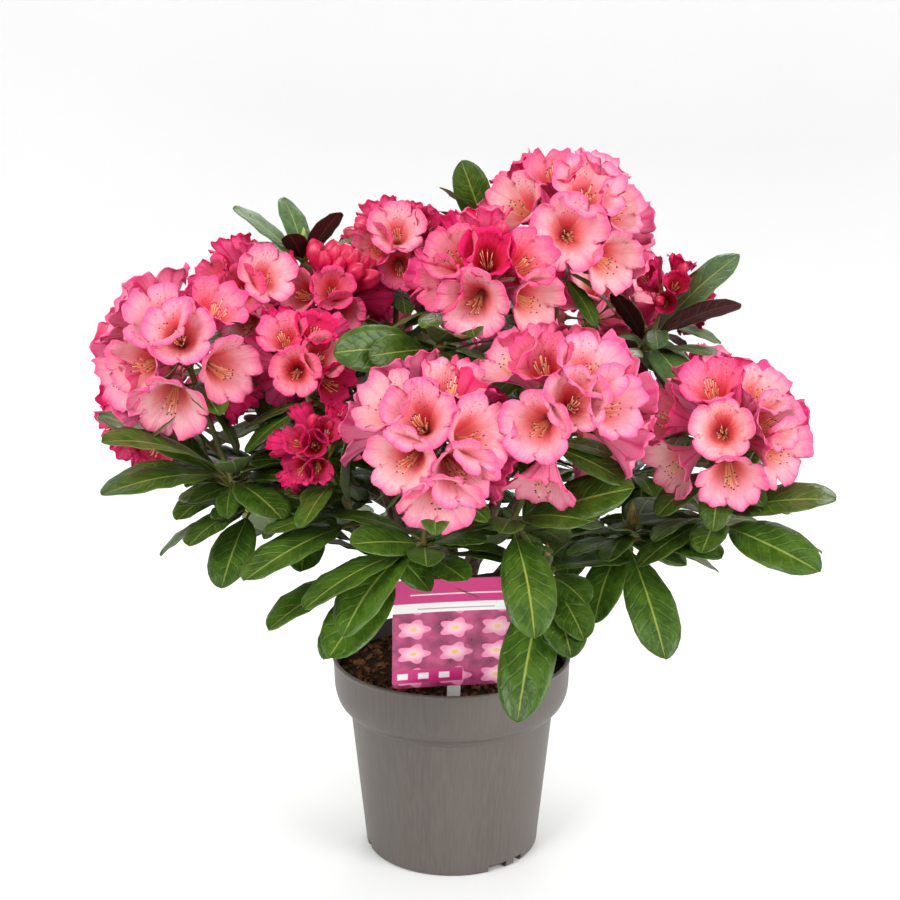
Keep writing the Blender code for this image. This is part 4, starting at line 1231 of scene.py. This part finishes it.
UNDER_TRUSS = 0.030
UNDER_LEAVES = (8, -24, 0.070)
TWIG_LEAVES = (5, 4, 0.080)
TWIG_PLACES = (0.62, 0.86)
FILL_LENGTHS = (0.7, 1.15)
FILL_SPACE = 0.006
CARD_KEPT_CLEAR = 0.6
LEAF_PARTING = 0.010


def fill_leaf(room, name, root, bearing, rise, length, roll):
    """Sets a smaller leaf where there is room inside the reach of its mass."""
    low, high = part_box(name)
    tip = root + heading(bearing, rise) * length
    if not all(low[axis] - FILL_SPACE < tip[axis] < high[axis] + FILL_SPACE for axis in range(3)):
        return None
    card_top = LABEL_FOOT.z + CARD_FOOT + CARD_HEIGHT
    if abs(tip.x) < CARD_WIDTH * CARD_KEPT_CLEAR and tip.y < LABEL_FOOT.y and tip.z < card_top:
        return None
    for turn, lift, shrink in nudges():
        leaf = (root, bearing + turn, rise + lift, length * shrink, roll)
        form = leaf_room(*leaf, CLEAR)
        if room.free(form, name, -1, "filler"):
            room.add(form, name, len(room.taken), "filler")
            return leaf
    return None


def grow_finer(room, dice):
    """The leaves that the plain masses leave out: under each truss, and along each shoot's older wood."""
    found = []
    for name, _, growth in each_shoot():
        whorl, centre, axis = growth["whorl"], growth["truss"], growth["axis"]
        rings = []
        if centre:
            rings.append((centre - axis * UNDER_TRUSS, axis, UNDER_LEAVES))
        stem = MASSES[name]["stem"].lerp(Vector(MASSES[name]["hub"]), 0.8)
        for share in TWIG_PLACES:
            rings.append((stem.lerp(whorl, share), (whorl - stem).normalized(), TWIG_LEAVES))
        for foot, axis, (count, rise, length) in rings:
            bearing = dice.uniform(0, 360)
            for _ in range(count):
                bearing += GOLDEN_ANGLE
                root = foot + axis * dice.uniform(-0.006, 0.006)
                leaf = fill_leaf(room, name, root, bearing, rise + dice.uniform(-22, 22),
                                 length * dice.uniform(*FILL_LENGTHS), dice.uniform(-16, 16))
                if leaf:
                    found.append((leaf, growth["young"] > 5))
    return found


def place_tree():
    """Stands copies of a few patterns at points, each turned and sized as its point says."""
    tree = Tree("place", Patterns="Collection")
    kinds = tree.node("GeometryNodeCollectionInfo", None,
                      {0: tree.given["Patterns"], "Separate Children": True, "Reset Children": True})
    turn = tree.node("FunctionNodeEulerToRotation", None, {0: tree.named("turn", "FLOAT_VECTOR")})
    tree.close(tree.node("GeometryNodeInstanceOnPoints", None,
                         {"Points": tree.given["Geometry"], "Instance": kinds, "Pick Instance": True,
                          "Instance Index": tree.named("kind", "INT"), "Rotation": turn,
                          "Scale": tree.named("size", "FLOAT_VECTOR")}))
    return tree


placing = place_tree()


def note(mesh, name, kind, domain, values):
    """Writes one value, or one vector, for each point or corner of a mesh."""
    mesh.attributes.new(name, kind, domain)
    flat = [part for value in values for part in value] if kind == "FLOAT_VECTOR" else list(values)
    mesh.attributes[name].data.foreach_set("vector" if kind == "FLOAT_VECTOR" else "value", flat)


def stand_out(name, patterns, places, finish):
    """One piece of many copies. A place is a point, three axes, a size and the pattern's number."""
    home = bpy.data.collections.new(name + "_patterns")
    for number, pattern in enumerate(patterns):
        home.objects.link(bpy.data.objects.new(f"{name}_{number:02d}", pattern))
    points, axes, sizes, kinds = zip(*places)
    seeds = mesh_piece(name, points, [], finish)
    mesh = seeds.data
    note(mesh, "turn", "FLOAT_VECTOR", "POINT", [Matrix(three).transposed().to_euler() for three in axes])
    note(mesh, "size", "FLOAT_VECTOR", "POINT", [size if isinstance(size, Vector) else (size,) * 3
                                                 for size in sizes])
    note(mesh, "kind", "INT", "POINT", [kind % len(patterns) for kind in kinds])
    piece = placing.run(seeds, Patterns=home, Finish=finish)
    clear(home)
    for spare in ("turn", "size", "kind"):
        if spare in piece.data.attributes:
            piece.data.attributes.remove(piece.data.attributes[spare])
    set_on(piece, "foliage")


def blade_share(s):
    """How wide the blade is, as a share of its full width, from its foot at 0 to its blunt tip at 1."""
    if s < 0.56:
        return max(0.0, 1 - ((0.56 - s) / 0.56) ** 2.1) ** 0.85
    return max(0.0, 1 - ((s - 0.56) / 0.44) ** 2.5) ** 0.60


def leaf_pattern(kind, young):
    """A leaf one unit long, with its stalk, lying along Y with its upper face up."""
    dice = random.Random(40 + kind)
    fold, wave = dice.uniform(0.02, 0.20), dice.uniform(0.004, 0.012)
    curl, twist = dice.uniform(0.02, 0.10), math.radians(dice.uniform(-14, 14))
    sway, waves, tone = dice.uniform(-0.05, 0.05), dice.uniform(3, 5), dice.random()
    sag, seed = LEAF_SAG * dice.uniform(0.8, 1.25), dice.random() * 10
    grid = [(a, y) for y in LEAF_ROWS for a in LEAF_COLUMNS]
    front, back = [], []
    for a, y in grid:
        s = max(0.0, (y - BLADE_START) / (1 - BLADE_START))
        half = max(0.5 * BLADE_WIDTH * blade_share(s), 0.0095 if s < 0.5 else 0.004)
        thick = 0.0035 + 0.012 * max(0.0, 1 - y / BLADE_START)
        x = a * half
        ripple = wave * a * a * math.sin(2 * math.pi * waves * s + 1.5 * a)
        z = fold * abs(x) - curl * abs(a) ** 3 * half + ripple
        groove = 0.006 * math.exp(-(a / 0.2) ** 2) * min(1, s * 8)
        rib = (0.010 * (1 - 0.75 * s)) * math.exp(-(a / 0.25) ** 2)
        for layer, height in ((front, z - groove), (back, z - thick - rib)):
            turned_x = x * math.cos(twist * s) - height * math.sin(twist * s)
            turned_z = x * math.sin(twist * s) + height * math.cos(twist * s)
            layer.append((turned_x + sway * s * s, y, turned_z + sag * 4 * y * (1 - y)))
    mesh = bpy.data.meshes.new(f"leaf_{kind}")
    mesh.from_pydata(front + back, [], sheet_faces(len(LEAF_ROWS), len(LEAF_COLUMNS)))
    note(mesh, "blade", "FLOAT_VECTOR", "POINT", [(a, y, below) for below in (0.0, 1.0) for a, y in grid])
    note(mesh, "nature", "FLOAT_VECTOR", "POINT", [(tone, seed, float(young))] * (2 * len(grid)))
    mapped = mesh.uv_layers.new(name="OFBake")
    left, low = kind % 4 / 4, kind // 4 / 2
    for loop in mesh.loops:
        below, index = divmod(loop.vertex_index, len(grid))
        a, y = grid[index]
        across = 0.02 + 0.46 * (a + 1) / 2 + 0.5 * below
        mapped.data[loop.index].uv = (left + across / 4, low + (0.02 + 0.96 * y) / 2)
    mesh.shade_smooth()
    return mesh


def leaf_paint(name, under, deep, bright, gloss):
    paint = Paint(name, 0.35, Specular_IOR_Level=0.32)
    a, s, below = paint.mark("blade")
    tone, seed, _ = paint.mark("nature")
    spread = abs(a)
    mottle = paint.cloud(paint.vector(a * 1.1, s * 4.2, seed), 2.2, 4, 0.6)
    fine = paint.cloud(paint.vector(a * 6, s * 22, seed), 3.0, 2)
    side = a.step_from(-0.001, 0.001) * 0.5
    vein_run = (s - 0.1) * 10 - spread * 1.9 + side + mottle * 0.9
    vein = abs(vein_run.maths("FRACT") - 0.5)
    vein = (1 - vein.step_from(0.04, 0.14)) * (1 - spread.step_from(0.75, 0.98)) * s.step_from(0.14, 0.2)
    midrib = 1 - spread.step_from(0.02, 0.065)
    flesh = (1 - vein) * (1 - midrib)
    top = paint.mix(mottle.step_from(0.3, 0.7) * 0.7 + tone * 0.3, deep, bright)
    top = paint.mix(vein * 0.11, top, (0.19, 0.30, 0.04))
    top = paint.mix(fine.step_from(0.62, 0.8) * 0.16, top, (0.22, 0.30, 0.05))
    top = paint.mix(spread.step_from(0.90, 1.0) * 0.25, top, (0.20, 0.27, 0.06))
    top = paint.mix(midrib * (0.75 - s * 0.35), top, (0.42, 0.50, 0.09))
    low = paint.mix(vein * 0.35, under[0], under[1])
    low = paint.mix(midrib * 0.8, low, under[2])
    low = paint.mix(spread.step_from(0.93, 1.0) * 0.6, low, (0.13, 0.20, 0.05))
    stalk = 1 - s.step_from(0.11, 0.16)
    colour = paint.mix(below, top, low)
    colour = paint.mix(stalk * 0.8, colour, (0.26, 0.24, 0.07))
    shine = gloss + below * 0.22 + mottle * 0.16 - flesh * 0.04
    return paint.finish(colour, shine, flesh * 0.45 + mottle, 0.0011)


mature = leaf_paint("mature leaf", ((0.115, 0.165, 0.050), (0.17, 0.22, 0.08), (0.30, 0.33, 0.12)),
                    (0.022, 0.058, 0.0035), (0.072, 0.150, 0.012), 0.27)
young = leaf_paint("young leaf", ((0.050, 0.008, 0.012), (0.085, 0.020, 0.020), (0.22, 0.065, 0.045)),
                   (0.040, 0.085, 0.022), (0.100, 0.190, 0.050), 0.34)
room = Room()
for name, node in frame["nodes"].items():
    if not name.startswith(("mass_", "bough_")):
        corners = [vert.co for vert in node.data.vertices]
        room.add((corners, [tuple(face.vertices) for face in node.data.polygons]), name, 0, "limb")
for name, _, _, _ in BOUGHS:
    line, radii = routes[name]
    room.add(tube(line, [radius + 2 * CLEAR for radius in radii], 7), "bough_" + name, 0, "limb")
for name, mass in MASSES.items():
    for lines, sides in zip(plan_twigs(mass), (7, 3, 4)):
        for line, radii in lines:
            room.add(tube(line, radii, sides), name, 0, "wood")
leaves, blooms = grow_masses(room)
leaf_dice = random.Random(LEAF_SEED)
leaves += grow_finer(room, leaf_dice)
leaf_groups = {"leaves_front": [], "leaves_back": [], "leaves_young": []}
for (root, bearing, rise, length, roll), its_young in leaves:
    group = "leaves_young" if its_young else "leaves_back" if root.y > LEAF_PARTING else "leaves_front"
    slim = length * min(1.0, SLIM_LENGTH / length) ** 0.7
    leaf_groups[group].append((root, leaf_frame(bearing, rise, roll), Vector((slim, length, length))))
for name, group in leaf_groups.items():
    is_young = name == "leaves_young"
    patterns = [leaf_pattern(kind, is_young) for kind in range(LEAF_KINDS)]
    places = [(*place, leaf_dice.randrange(LEAF_KINDS)) for place in group]
    stand_out(name, patterns, places, young if is_young else mature)

# The flowers are soft funnels of five ruffled lobes on one tube, pale to deep pink with a darker edge. Each
# stands on its own stalk round the truss. The upper lobe is freckled, and the throat is orange to crimson.
MOUTH_RADIUS = 0.0350
LOBES = 5
LOBE_COLUMNS = 13
LOBE_ROWS = (0.0, 0.25, 0.48, 0.64, 0.74, 0.84, 0.93, 1.0)
FUSED_ROW = 3
WIDE_STEPS = (0.0, 0.2, 0.4, 0.6, 0.75, 0.9, 1.0)
WIDE_SHARES = (0.11, 0.22, 0.38, 0.58, 0.76, 0.92, 1.0)
DEEP_SHARES = (0.0, 0.26, 0.50, 0.71, 0.85, 0.96, 0.99)
PETAL_THICKNESS = 0.00035
FLOWER_KINDS = 6
LOBE_FLARES = (-0.12, 0.04, -0.10, -0.10, 0.04)
SQUARE = ((0, 0), (0, 1), (1, 1), (1, 0))


def between(steps, shares, t):
    for (t0, s0), (t1, s1) in zip(zip(steps, shares), zip(steps[1:], shares[1:])):
        if t <= t1:
            return s0 + (s1 - s0) * (t - t0) / (t1 - t0)
    return shares[-1]


def flower_pattern(name, kind, openness):
    """One flower's funnel, base at the origin, mouth along Z and upper lobe along Y."""
    dice = random.Random(70 + kind)
    tone, seed, fused = dice.random(), dice.uniform(0, 10), LOBE_ROWS[FUSED_ROW]
    openness *= dice.uniform(0.90, 1.02)
    columns = [2 * j / (LOBE_COLUMNS - 1) - 1 for j in range(LOBE_COLUMNS)]
    index, verts = {}, []

    def key(lobe, row, column):
        if column == LOBE_COLUMNS - 1 and row <= FUSED_ROW:
            return ((lobe + 1) % LOBES, row, 0)
        return (lobe, row, column)

    for lobe in range(LOBES):
        phase, waves = dice.uniform(0, 6.28), dice.uniform(1.9, 2.9)
        ruffle, curl = dice.uniform(0.0020, 0.0036), dice.uniform(-0.10, 0.06) + LOBE_FLARES[lobe]
        longer, wider, crinkle = dice.uniform(0.92, 1.03), dice.uniform(1.10, 1.24), dice.uniform(0.01, 0.035)
        for row, t in enumerate(LOBE_ROWS):
            out = max(0.0, (t - fused) / (1 - fused))
            for column, c in enumerate(columns):
                if key(lobe, row, column) in index:
                    continue
                middle = math.exp(-(c / 0.2) ** 2)
                length = 0.24 + 0.76 * math.sqrt(max(0.0, 1 - abs(c) ** 2.8))
                length -= (0.09 * middle + crinkle * math.sin(waves * 1.7 * c + phase)) * out
                reached = fused + (t - fused) * length * longer if row > FUSED_ROW else t
                width = 1 + (wider - 1) * math.sin(math.pi * out) ** 0.8
                turn = math.radians(72 * lobe + 36 * c * width)
                radius = MOUTH_RADIUS * between(WIDE_STEPS, WIDE_SHARES, reached) * (openness if out else 1)
                radius *= 1 - (1 - openness) * reached
                wave = ruffle * out ** 1.4 * math.sin(waves * math.pi * c + phase) * (0.45 + 0.55 * abs(c))
                height = BLOOM_DEPTH * between(WIDE_STEPS, DEEP_SHARES, reached) * (1.12 - 0.12 * openness)
                height += wave + 0.0022 * c * out + BLOOM_DEPTH * curl * out ** 2 * 0.5 - 0.0018 * out * c * c
                height -= 0.0012 * middle * out
                index[key(lobe, row, column)] = len(verts)
                verts.append(Vector((math.sin(turn) * radius, math.cos(turn) * radius, height)))
    faces, corners = [], []

    def face(points, under):
        faces.append([index[key(*place)] + layer * len(verts) for *place, layer in points])
        for lobe, row, column, _ in points:
            corners.append((columns[column], LOBE_ROWS[row], lobe, float(under)))

    for lobe in range(LOBES):
        for row in range(len(LOBE_ROWS) - 1):
            for column in range(LOBE_COLUMNS - 1):
                ring = [(lobe, row + up, column + on) for up, on in SQUARE]
                face([(*place, 0) for place in ring], 0)
                face([(*place, 1) for place in reversed(ring)], 1)
            if row >= FUSED_ROW:
                for column, way in ((0, 1), (LOBE_COLUMNS - 1, -1)):
                    face([(lobe, row + up, column, layer) for up, layer in SQUARE][::-way], 0)
        for column in range(LOBE_COLUMNS - 1):
            face([(lobe, len(LOBE_ROWS) - 1, column + on, layer) for on, layer in SQUARE][::-1], 0)
    base = [(lobe, 0, column) for lobe in range(LOBES) for column in range(LOBE_COLUMNS - 1)]
    face([(*place, 0) for place in reversed(base)], 0)
    face([(*place, 1) for place in base], 1)
    inner = bpy.data.meshes.new("inner")
    walls_inside = [made for made in faces if max(made) < len(verts) and len(made) == 4]
    inner.from_pydata([tuple(vert) for vert in verts], [], walls_inside)
    outer = [vert - point.normal * PETAL_THICKNESS for vert, point in zip(verts, inner.vertices)]
    bpy.data.meshes.remove(inner)
    mesh = bpy.data.meshes.new(name)
    mesh.from_pydata([tuple(vert) for vert in verts + outer], [], faces)
    mapped = mesh.uv_layers.new(name="OFBake")
    for number, (c, t, lobe, under) in enumerate(corners):
        across = kind % 3 + 0.01 + 0.48 * (lobe + (c + 1) / 2) / LOBES + 0.5 * under
        mapped.data[number].uv = (across / 3, (kind // 3 % 2 + 0.02 + 0.96 * t) / 2)
    natures = [(under, float(lobe == 0), tone) for _, _, lobe, under in corners]
    note(mesh, "spot", "FLOAT_VECTOR", "CORNER", [(c, t, lobe * 3.7 + seed) for c, t, lobe, _ in corners])
    note(mesh, "nature", "FLOAT_VECTOR", "CORNER", natures)
    mesh.shade_smooth()
    return mesh


def petal_paint(name, deep, throat, face_colour, warm, margin, outside, stripe):
    paint = Paint(name, 0.5, Specular_IOR_Level=0.12)
    c, t, seed = paint.mark("spot")
    under, upper, tone = paint.mark("nature")
    spread = abs(c)
    cloud = paint.cloud(paint.vector(c * 1.5, t * 4, seed), 2.0, 3, 0.6)
    fine = paint.cloud(paint.vector(c * 14, t * 3, seed), 2.0, 2)
    edge = t.step_from(0.50, 1.0).most(spread.step_from(0.50, 1.0) * t.step_from(0.58, 0.72) * 0.85)
    rim = (edge * edge * (0.70 + cloud * 0.5)).most(t.step_from(0.93, 1.0) * 0.75)
    vein = fine.step_from(0.50, 0.66) * 0.30 + (1 - spread.step_from(0.02, 0.10)) * 0.30
    vein = vein * (0.35 + edge * 0.65)
    inside = paint.mix((cloud * 0.6 + tone * 0.5).step_from(0.3, 0.8), face_colour, warm)
    depth = t + (cloud - 0.5) * 0.25
    inside = paint.mix(1 - depth.step_from(0.26, 0.66), inside, throat)
    inside = paint.mix((1 - depth.step_from(0.10, 0.42)) * tone, inside, deep)
    inside = paint.mix(upper * (1 - t.step_from(0.30, 0.66)) * 0.55, inside, deep)
    inside = paint.mix(vein * t.step_from(0.25, 0.5), inside, margin)
    inside = paint.mix(rim * 0.85, inside, margin)
    dots = paint.cells(paint.vector(c * 2.3, t * 9.0, seed), 2.1)
    freckle = (1 - dots.step_from(0.15, 0.25)) * upper * t.step_from(0.30, 0.40)
    freckle = freckle * (1 - t.step_from(0.78, 0.90)) * (1 - spread.step_from(0.55, 0.85))
    inside = paint.mix(freckle * 0.9, inside, (0.20, 0.006, 0.012))
    lines = (1 - spread.step_from(0.03, 0.20)).most(spread.step_from(0.88, 1.0))
    back = paint.mix((lines + fine.step_from(0.5, 0.7) * 0.3) * 0.75, outside, stripe)
    back = paint.mix(rim * 0.6, back, margin)
    back = paint.mix(1 - t.step_from(0.0, 0.22), back, throat)
    colour = paint.mix(under, inside, back)
    folds = paint.cloud(paint.vector(c * 3.2, t * 0.9, seed), 1.6, 2)
    return paint.finish(colour, 0.46 + cloud * 0.12, fine * 0.3 + folds * (0.4 + edge), 0.0022)


flower_sorts = {
    "p": ("flowers_pale", 1.0, petal_paint(
        "pale petal", (0.86, 0.055, 0.085), (0.97, 0.25, 0.24), (0.94, 0.37, 0.49), (0.97, 0.58, 0.57),
        (0.84, 0.040, 0.23), (0.97, 0.25, 0.42), (0.84, 0.050, 0.23))),
    "r": ("flowers_rose", 0.97, petal_paint(
        "rose petal", (0.70, 0.014, 0.045), (0.93, 0.130, 0.140), (0.91, 0.17, 0.32), (0.95, 0.34, 0.40),
        (0.80, 0.014, 0.170), (0.92, 0.110, 0.29), (0.74, 0.014, 0.13))),
    "d": ("flowers_deep", 0.86, petal_paint(
        "deep petal", (0.44, 0.003, 0.022), (0.76, 0.026, 0.060), (0.80, 0.026, 0.15), (0.86, 0.070, 0.21),
        (0.68, 0.005, 0.105), (0.79, 0.024, 0.15), (0.54, 0.004, 0.070))),
}
bloom_dice = random.Random(BLOOM_SEED)
flowers = {tone: [] for tone in flower_sorts}
open_blooms = [(bloom, tone) for bloom, tone, _ in blooms if tone != "b"]
for (centre, facing, reach), tone in open_blooms:
    size = bloom_size(reach)
    flowers[tone].append((centre + facing * (reach - BLOOM_DEPTH * size), bloom_frame(facing), size,
                          bloom_dice.randrange(FLOWER_KINDS)))
for tone, (name, openness, petals) in flower_sorts.items():
    kinds = range(10 * ord(tone), 10 * ord(tone) + FLOWER_KINDS)
    patterns = [flower_pattern(f"{name}_{kind}", kind, openness) for kind in kinds]
    stand_out(name, patterns, flowers[tone], petals)

# The stamens and the pistil curve out of each throat. Their filaments are orange to yellow-pink, and each
# ends in a small dark anther.
STAMENS = 10
STAMEN_LENGTH = 0.034
FILAMENT_RADII = (0.00060, 0.00040)
ANTHER_RADIUS = 0.00070
ANTHER_HALF = Vector((0.0010, 0, 0))


def stamen_lines(kind):
    """The middle lines of one flower's stamens and its pistil."""
    dice = random.Random(300 + kind)
    lines = []
    for number in range(STAMENS + 1):
        turn = 2 * math.pi * (number + dice.uniform(-0.3, 0.3)) / STAMENS
        pistil = number == STAMENS
        far = STAMEN_LENGTH * (1.22 if pistil else dice.uniform(0.72, 1.12))
        spread = 0.0015 if pistil else dice.uniform(0.0035, 0.0080)
        root = Vector((math.sin(turn), math.cos(turn), 0)) * 0.0016 + Vector((0, 0, 0.003))
        tip = Vector((math.sin(turn) * spread, math.cos(turn) * spread - 0.003, far))
        middle = root.lerp(tip, 0.5) + Vector((0, -0.0042, 0.004))
        lines.append(bend(root, middle, tip, 4))
    return lines


def joined(name, forms):
    verts, faces = [], []
    for form_verts, form_faces in forms:
        faces += [tuple(index + len(verts) for index in face) for face in form_faces]
        verts += form_verts
    mesh = bpy.data.meshes.new(name)
    mesh.from_pydata([tuple(vert) for vert in verts], [], faces)
    mesh.shade_smooth()
    return mesh


def pod(base, tip, radius, sides, swell):
    """A closed spindle from base to tip, with a ring for each share of its radius."""
    along = (tip - base).normalized()
    across = along.orthogonal().normalized()
    other = along.cross(across)
    verts = [base]
    for step, share in enumerate(swell):
        middle = base.lerp(tip, (step + 1) / (len(swell) + 1))
        verts += [middle + (across * x + other * y) * radius * share for x, y in around(sides)]
    faces, last = walls(len(swell), sides, 1), len(verts) - sides
    for side in range(sides):
        after = (side + 1) % sides
        faces += [(0, 1 + after, 1 + side), (last + side, last + after, len(verts))]
    return verts + [tip], faces


filament_finish = flecked("filament", 0.45, 90, (0.35, 0.65), (0.96, 0.56, 0.20), (0.97, 0.76, 0.44),
                          detail=2)
anther_finish = flecked("anther", 0.6, 120, (0.4, 0.6), (0.045, 0.014, 0.010), (0.130, 0.045, 0.025),
                        detail=2)
filaments, anthers = [], []
for kind in range(FLOWER_KINDS):
    lines = stamen_lines(kind)
    threads = [tube(line, taper(*FILAMENT_RADII, len(line)), 3) for line in lines]
    ends = [(line[-1] - ANTHER_HALF, line[-1] + ANTHER_HALF) for line in lines]
    filaments.append(joined(f"filaments_{kind}", threads))
    anthers.append(joined(f"anthers_{kind}", [pod(*pair, ANTHER_RADIUS, 4, (1.0, 1.0)) for pair in ends]))
everywhere = sum(flowers.values(), [])
stand_out("filaments", filaments, everywhere, filament_finish)
stand_out("anthers", anthers, everywhere, anther_finish)

# The flowers' and buds' own stalks are thin and flushed red, and widen to a small cup under the bloom. Those
# of unopened flowers are shorter. A bloom that the photo shows still shut is a cluster of four buds.
SMALL_KINDS = 4
BUD_STALK = 0.36
BUD_CLUSTER = ((-1, -0.6), (1, -0.6), (0, 1), (0, 0))


def pedicel_pattern(kind):
    """A stalk one unit long along Z, as thick as it is at full size."""
    dice = random.Random(500 + kind)
    bow = Vector((dice.uniform(-0.08, 0.08), dice.uniform(-0.10, 0.02), 0))
    line = [bow * math.sin(math.pi * step / 4) * 0.02 + Vector((0, 0, step / 4)) for step in range(5)]
    return joined(f"pedicel_{kind}", [tube(line, (0.0013, 0.0010, 0.0011, 0.0014, 0.0033), 6)])


def small_patterns(pattern):
    return [pattern(kind) for kind in range(SMALL_KINDS)]


stalk_places, bud_places = [], []
for (centre, facing, reach), _ in open_blooms:
    size = bloom_size(reach)
    long = reach - BLOOM_DEPTH * size + 0.0006
    stalk_places.append((centre, bloom_frame(facing), Vector((size, size, long)),
                         bloom_dice.randrange(SMALL_KINDS)))
bud_wishes = [(growth, heading(*bud)) for _, _, growth in each_shoot() for bud in growth["buds"]]
for (centre, facing, reach), tone, growth in blooms:
    if tone == "b":
        side, upward, _ = bloom_frame(facing)
        bud_wishes += [(growth, facing + side * right * 0.3 + upward * up * 0.3) for right, up in BUD_CLUSTER]
for growth, facing in bud_wishes:
    facing = (facing + Vector([bloom_dice.uniform(-0.08, 0.08) for _ in range(3)])).normalized()
    long, start = growth["reach"] * bloom_dice.uniform(0.56, 0.74), growth["reach"] * BUD_STALK
    stalk_places.append((growth["truss"], bloom_frame(facing), Vector((0.85, 0.85, start)), 0))
    bud_places.append((growth["truss"] + facing * start * 0.97, bloom_frame(facing), long,
                       bloom_dice.randrange(SMALL_KINDS)))
pedicel_finish = flecked("flower stalk", 0.5, 70, (0.35, 0.65), (0.24, 0.20, 0.06), (0.33, 0.060, 0.055))
stand_out("flower_stalks", small_patterns(pedicel_pattern), stalk_places, pedicel_finish)

# The unopened flowers are crimson spindles with five rounded ribs, folded round each other at the tip.
# They stand on their stalks between the open flowers and on top of the trusses.
BUD_ROWS = ((0.0, 0.07), (0.12, 0.095), (0.30, 0.125), (0.5, 0.185), (0.68, 0.215), (0.84, 0.165),
            (0.95, 0.075))
BUD_SIDES = 20
BUD_TWIST = 0.9


def bud_pattern(kind):
    """A flower bud one unit long along Z."""
    dice = random.Random(600 + kind)
    swell, bow = dice.uniform(0.90, 1.15), dice.uniform(-0.05, 0.05)
    verts = []
    for height, radius in BUD_ROWS:
        for side in range(BUD_SIDES):
            turn = 2 * math.pi * side / BUD_SIDES
            rib = 1 + 0.13 * math.cos(LOBES * turn) * math.sin(math.pi * height)
            turn += height * BUD_TWIST
            verts.append(Vector((math.cos(turn) * radius * swell * rib + bow * height ** 2,
                                 math.sin(turn) * radius * swell * rib, height)))
    last = len(verts) - BUD_SIDES
    faces = walls(len(BUD_ROWS), BUD_SIDES) + [tuple(reversed(range(BUD_SIDES)))]
    faces += [(last + side, last + (side + 1) % BUD_SIDES, len(verts)) for side in range(BUD_SIDES)]
    return joined(f"flower_bud_{kind}", [(verts + [Vector((bow, 0, 1.0))], faces)])


bud_finish = flecked("flower bud", 0.4, 110, (0.32, 0.68), (0.50, 0.004, 0.045), (0.74, 0.016, 0.100), 0.0004)
stand_out("flower_buds", small_patterns(bud_pattern), bud_places, bud_finish)

# Bud scales stay round the foot of each truss, and a pointed leaf bud stands at the end of a shoot without
# one. Both are yellow-green, flushed with maroon.
SCALES = 7
SCALE_ROWS = (0.0, 0.18, 0.4, 0.62, 0.82, 1.0)
SCALE_COLUMNS = (-1, -0.45, 0, 0.45, 1)
SCALE_THICKNESS = 0.014
SCALE_LENGTHS = (0.018, 0.030)
SCALE_LEANS = (25, 60)
LEAF_BUD_LENGTH = 0.033


def scale_pattern(kind):
    """A narrow pointed scale one unit long along Z, cupped towards Y."""
    arch = random.Random(700 + kind).uniform(0.10, 0.30)
    front, back = [], []
    for z in SCALE_ROWS:
        half = 0.095 * math.sin(math.pi * (0.12 + 0.88 * z)) ** 0.8 + 0.004
        for a in SCALE_COLUMNS:
            y = arch * z * z + 0.5 * half * (a * a)
            front.append(Vector((a * half, y, z)))
            back.append(Vector((a * half, y - SCALE_THICKNESS, z)))
    return joined(f"scale_{kind}", [(back + front, sheet_faces(len(SCALE_ROWS), len(SCALE_COLUMNS)))])


def leaf_bud_pattern(kind):
    """A plump pointed bud one unit long along Z."""
    tip = Vector((0.02 * kind - 0.03, 0, 1))
    form = pod(Vector((0, 0, -0.1)), tip, 0.12 + 0.01 * kind, 7, (0.7, 1.0, 0.9, 0.55))
    return joined(f"leaf_bud_{kind}", [form])


scale_finish = flecked("bud scale", 0.45, 48, (0.38, 0.64), (0.36, 0.42, 0.070), (0.22, 0.035, 0.025), 0.0004)
scale_places, leaf_bud_places = [], []
for _, _, growth in each_shoot():
    axis, foot, share = Vector((0, 0, 1)), growth["whorl"], 0.7
    if growth["truss"]:
        axis, foot, share = growth["axis"], growth["truss"] - growth["axis"] * 0.013, 1.0
    else:
        leaf_bud_places.append((foot, bloom_frame(axis), LEAF_BUD_LENGTH, bloom_dice.randrange(SMALL_KINDS)))
    turn = bloom_dice.uniform(0, 360)
    for _ in range(SCALES):
        turn += GOLDEN_ANGLE
        upward = axis.orthogonal().normalized()
        upward.rotate(Matrix.Rotation(math.radians(turn), 3, axis))
        lean = math.radians(bloom_dice.uniform(*SCALE_LEANS))
        along = axis * math.cos(lean) - upward * math.sin(lean)
        inward = axis * math.sin(lean) + upward * math.cos(lean)
        scale_places.append((foot - upward * 0.0022, (inward.cross(along), inward, along),
                             bloom_dice.uniform(*SCALE_LENGTHS) * share, bloom_dice.randrange(SMALL_KINDS)))
stand_out("bud_scales", small_patterns(scale_pattern), scale_places, scale_finish)
stand_out("leaf_buds", small_patterns(leaf_bud_pattern), leaf_bud_places, scale_finish)
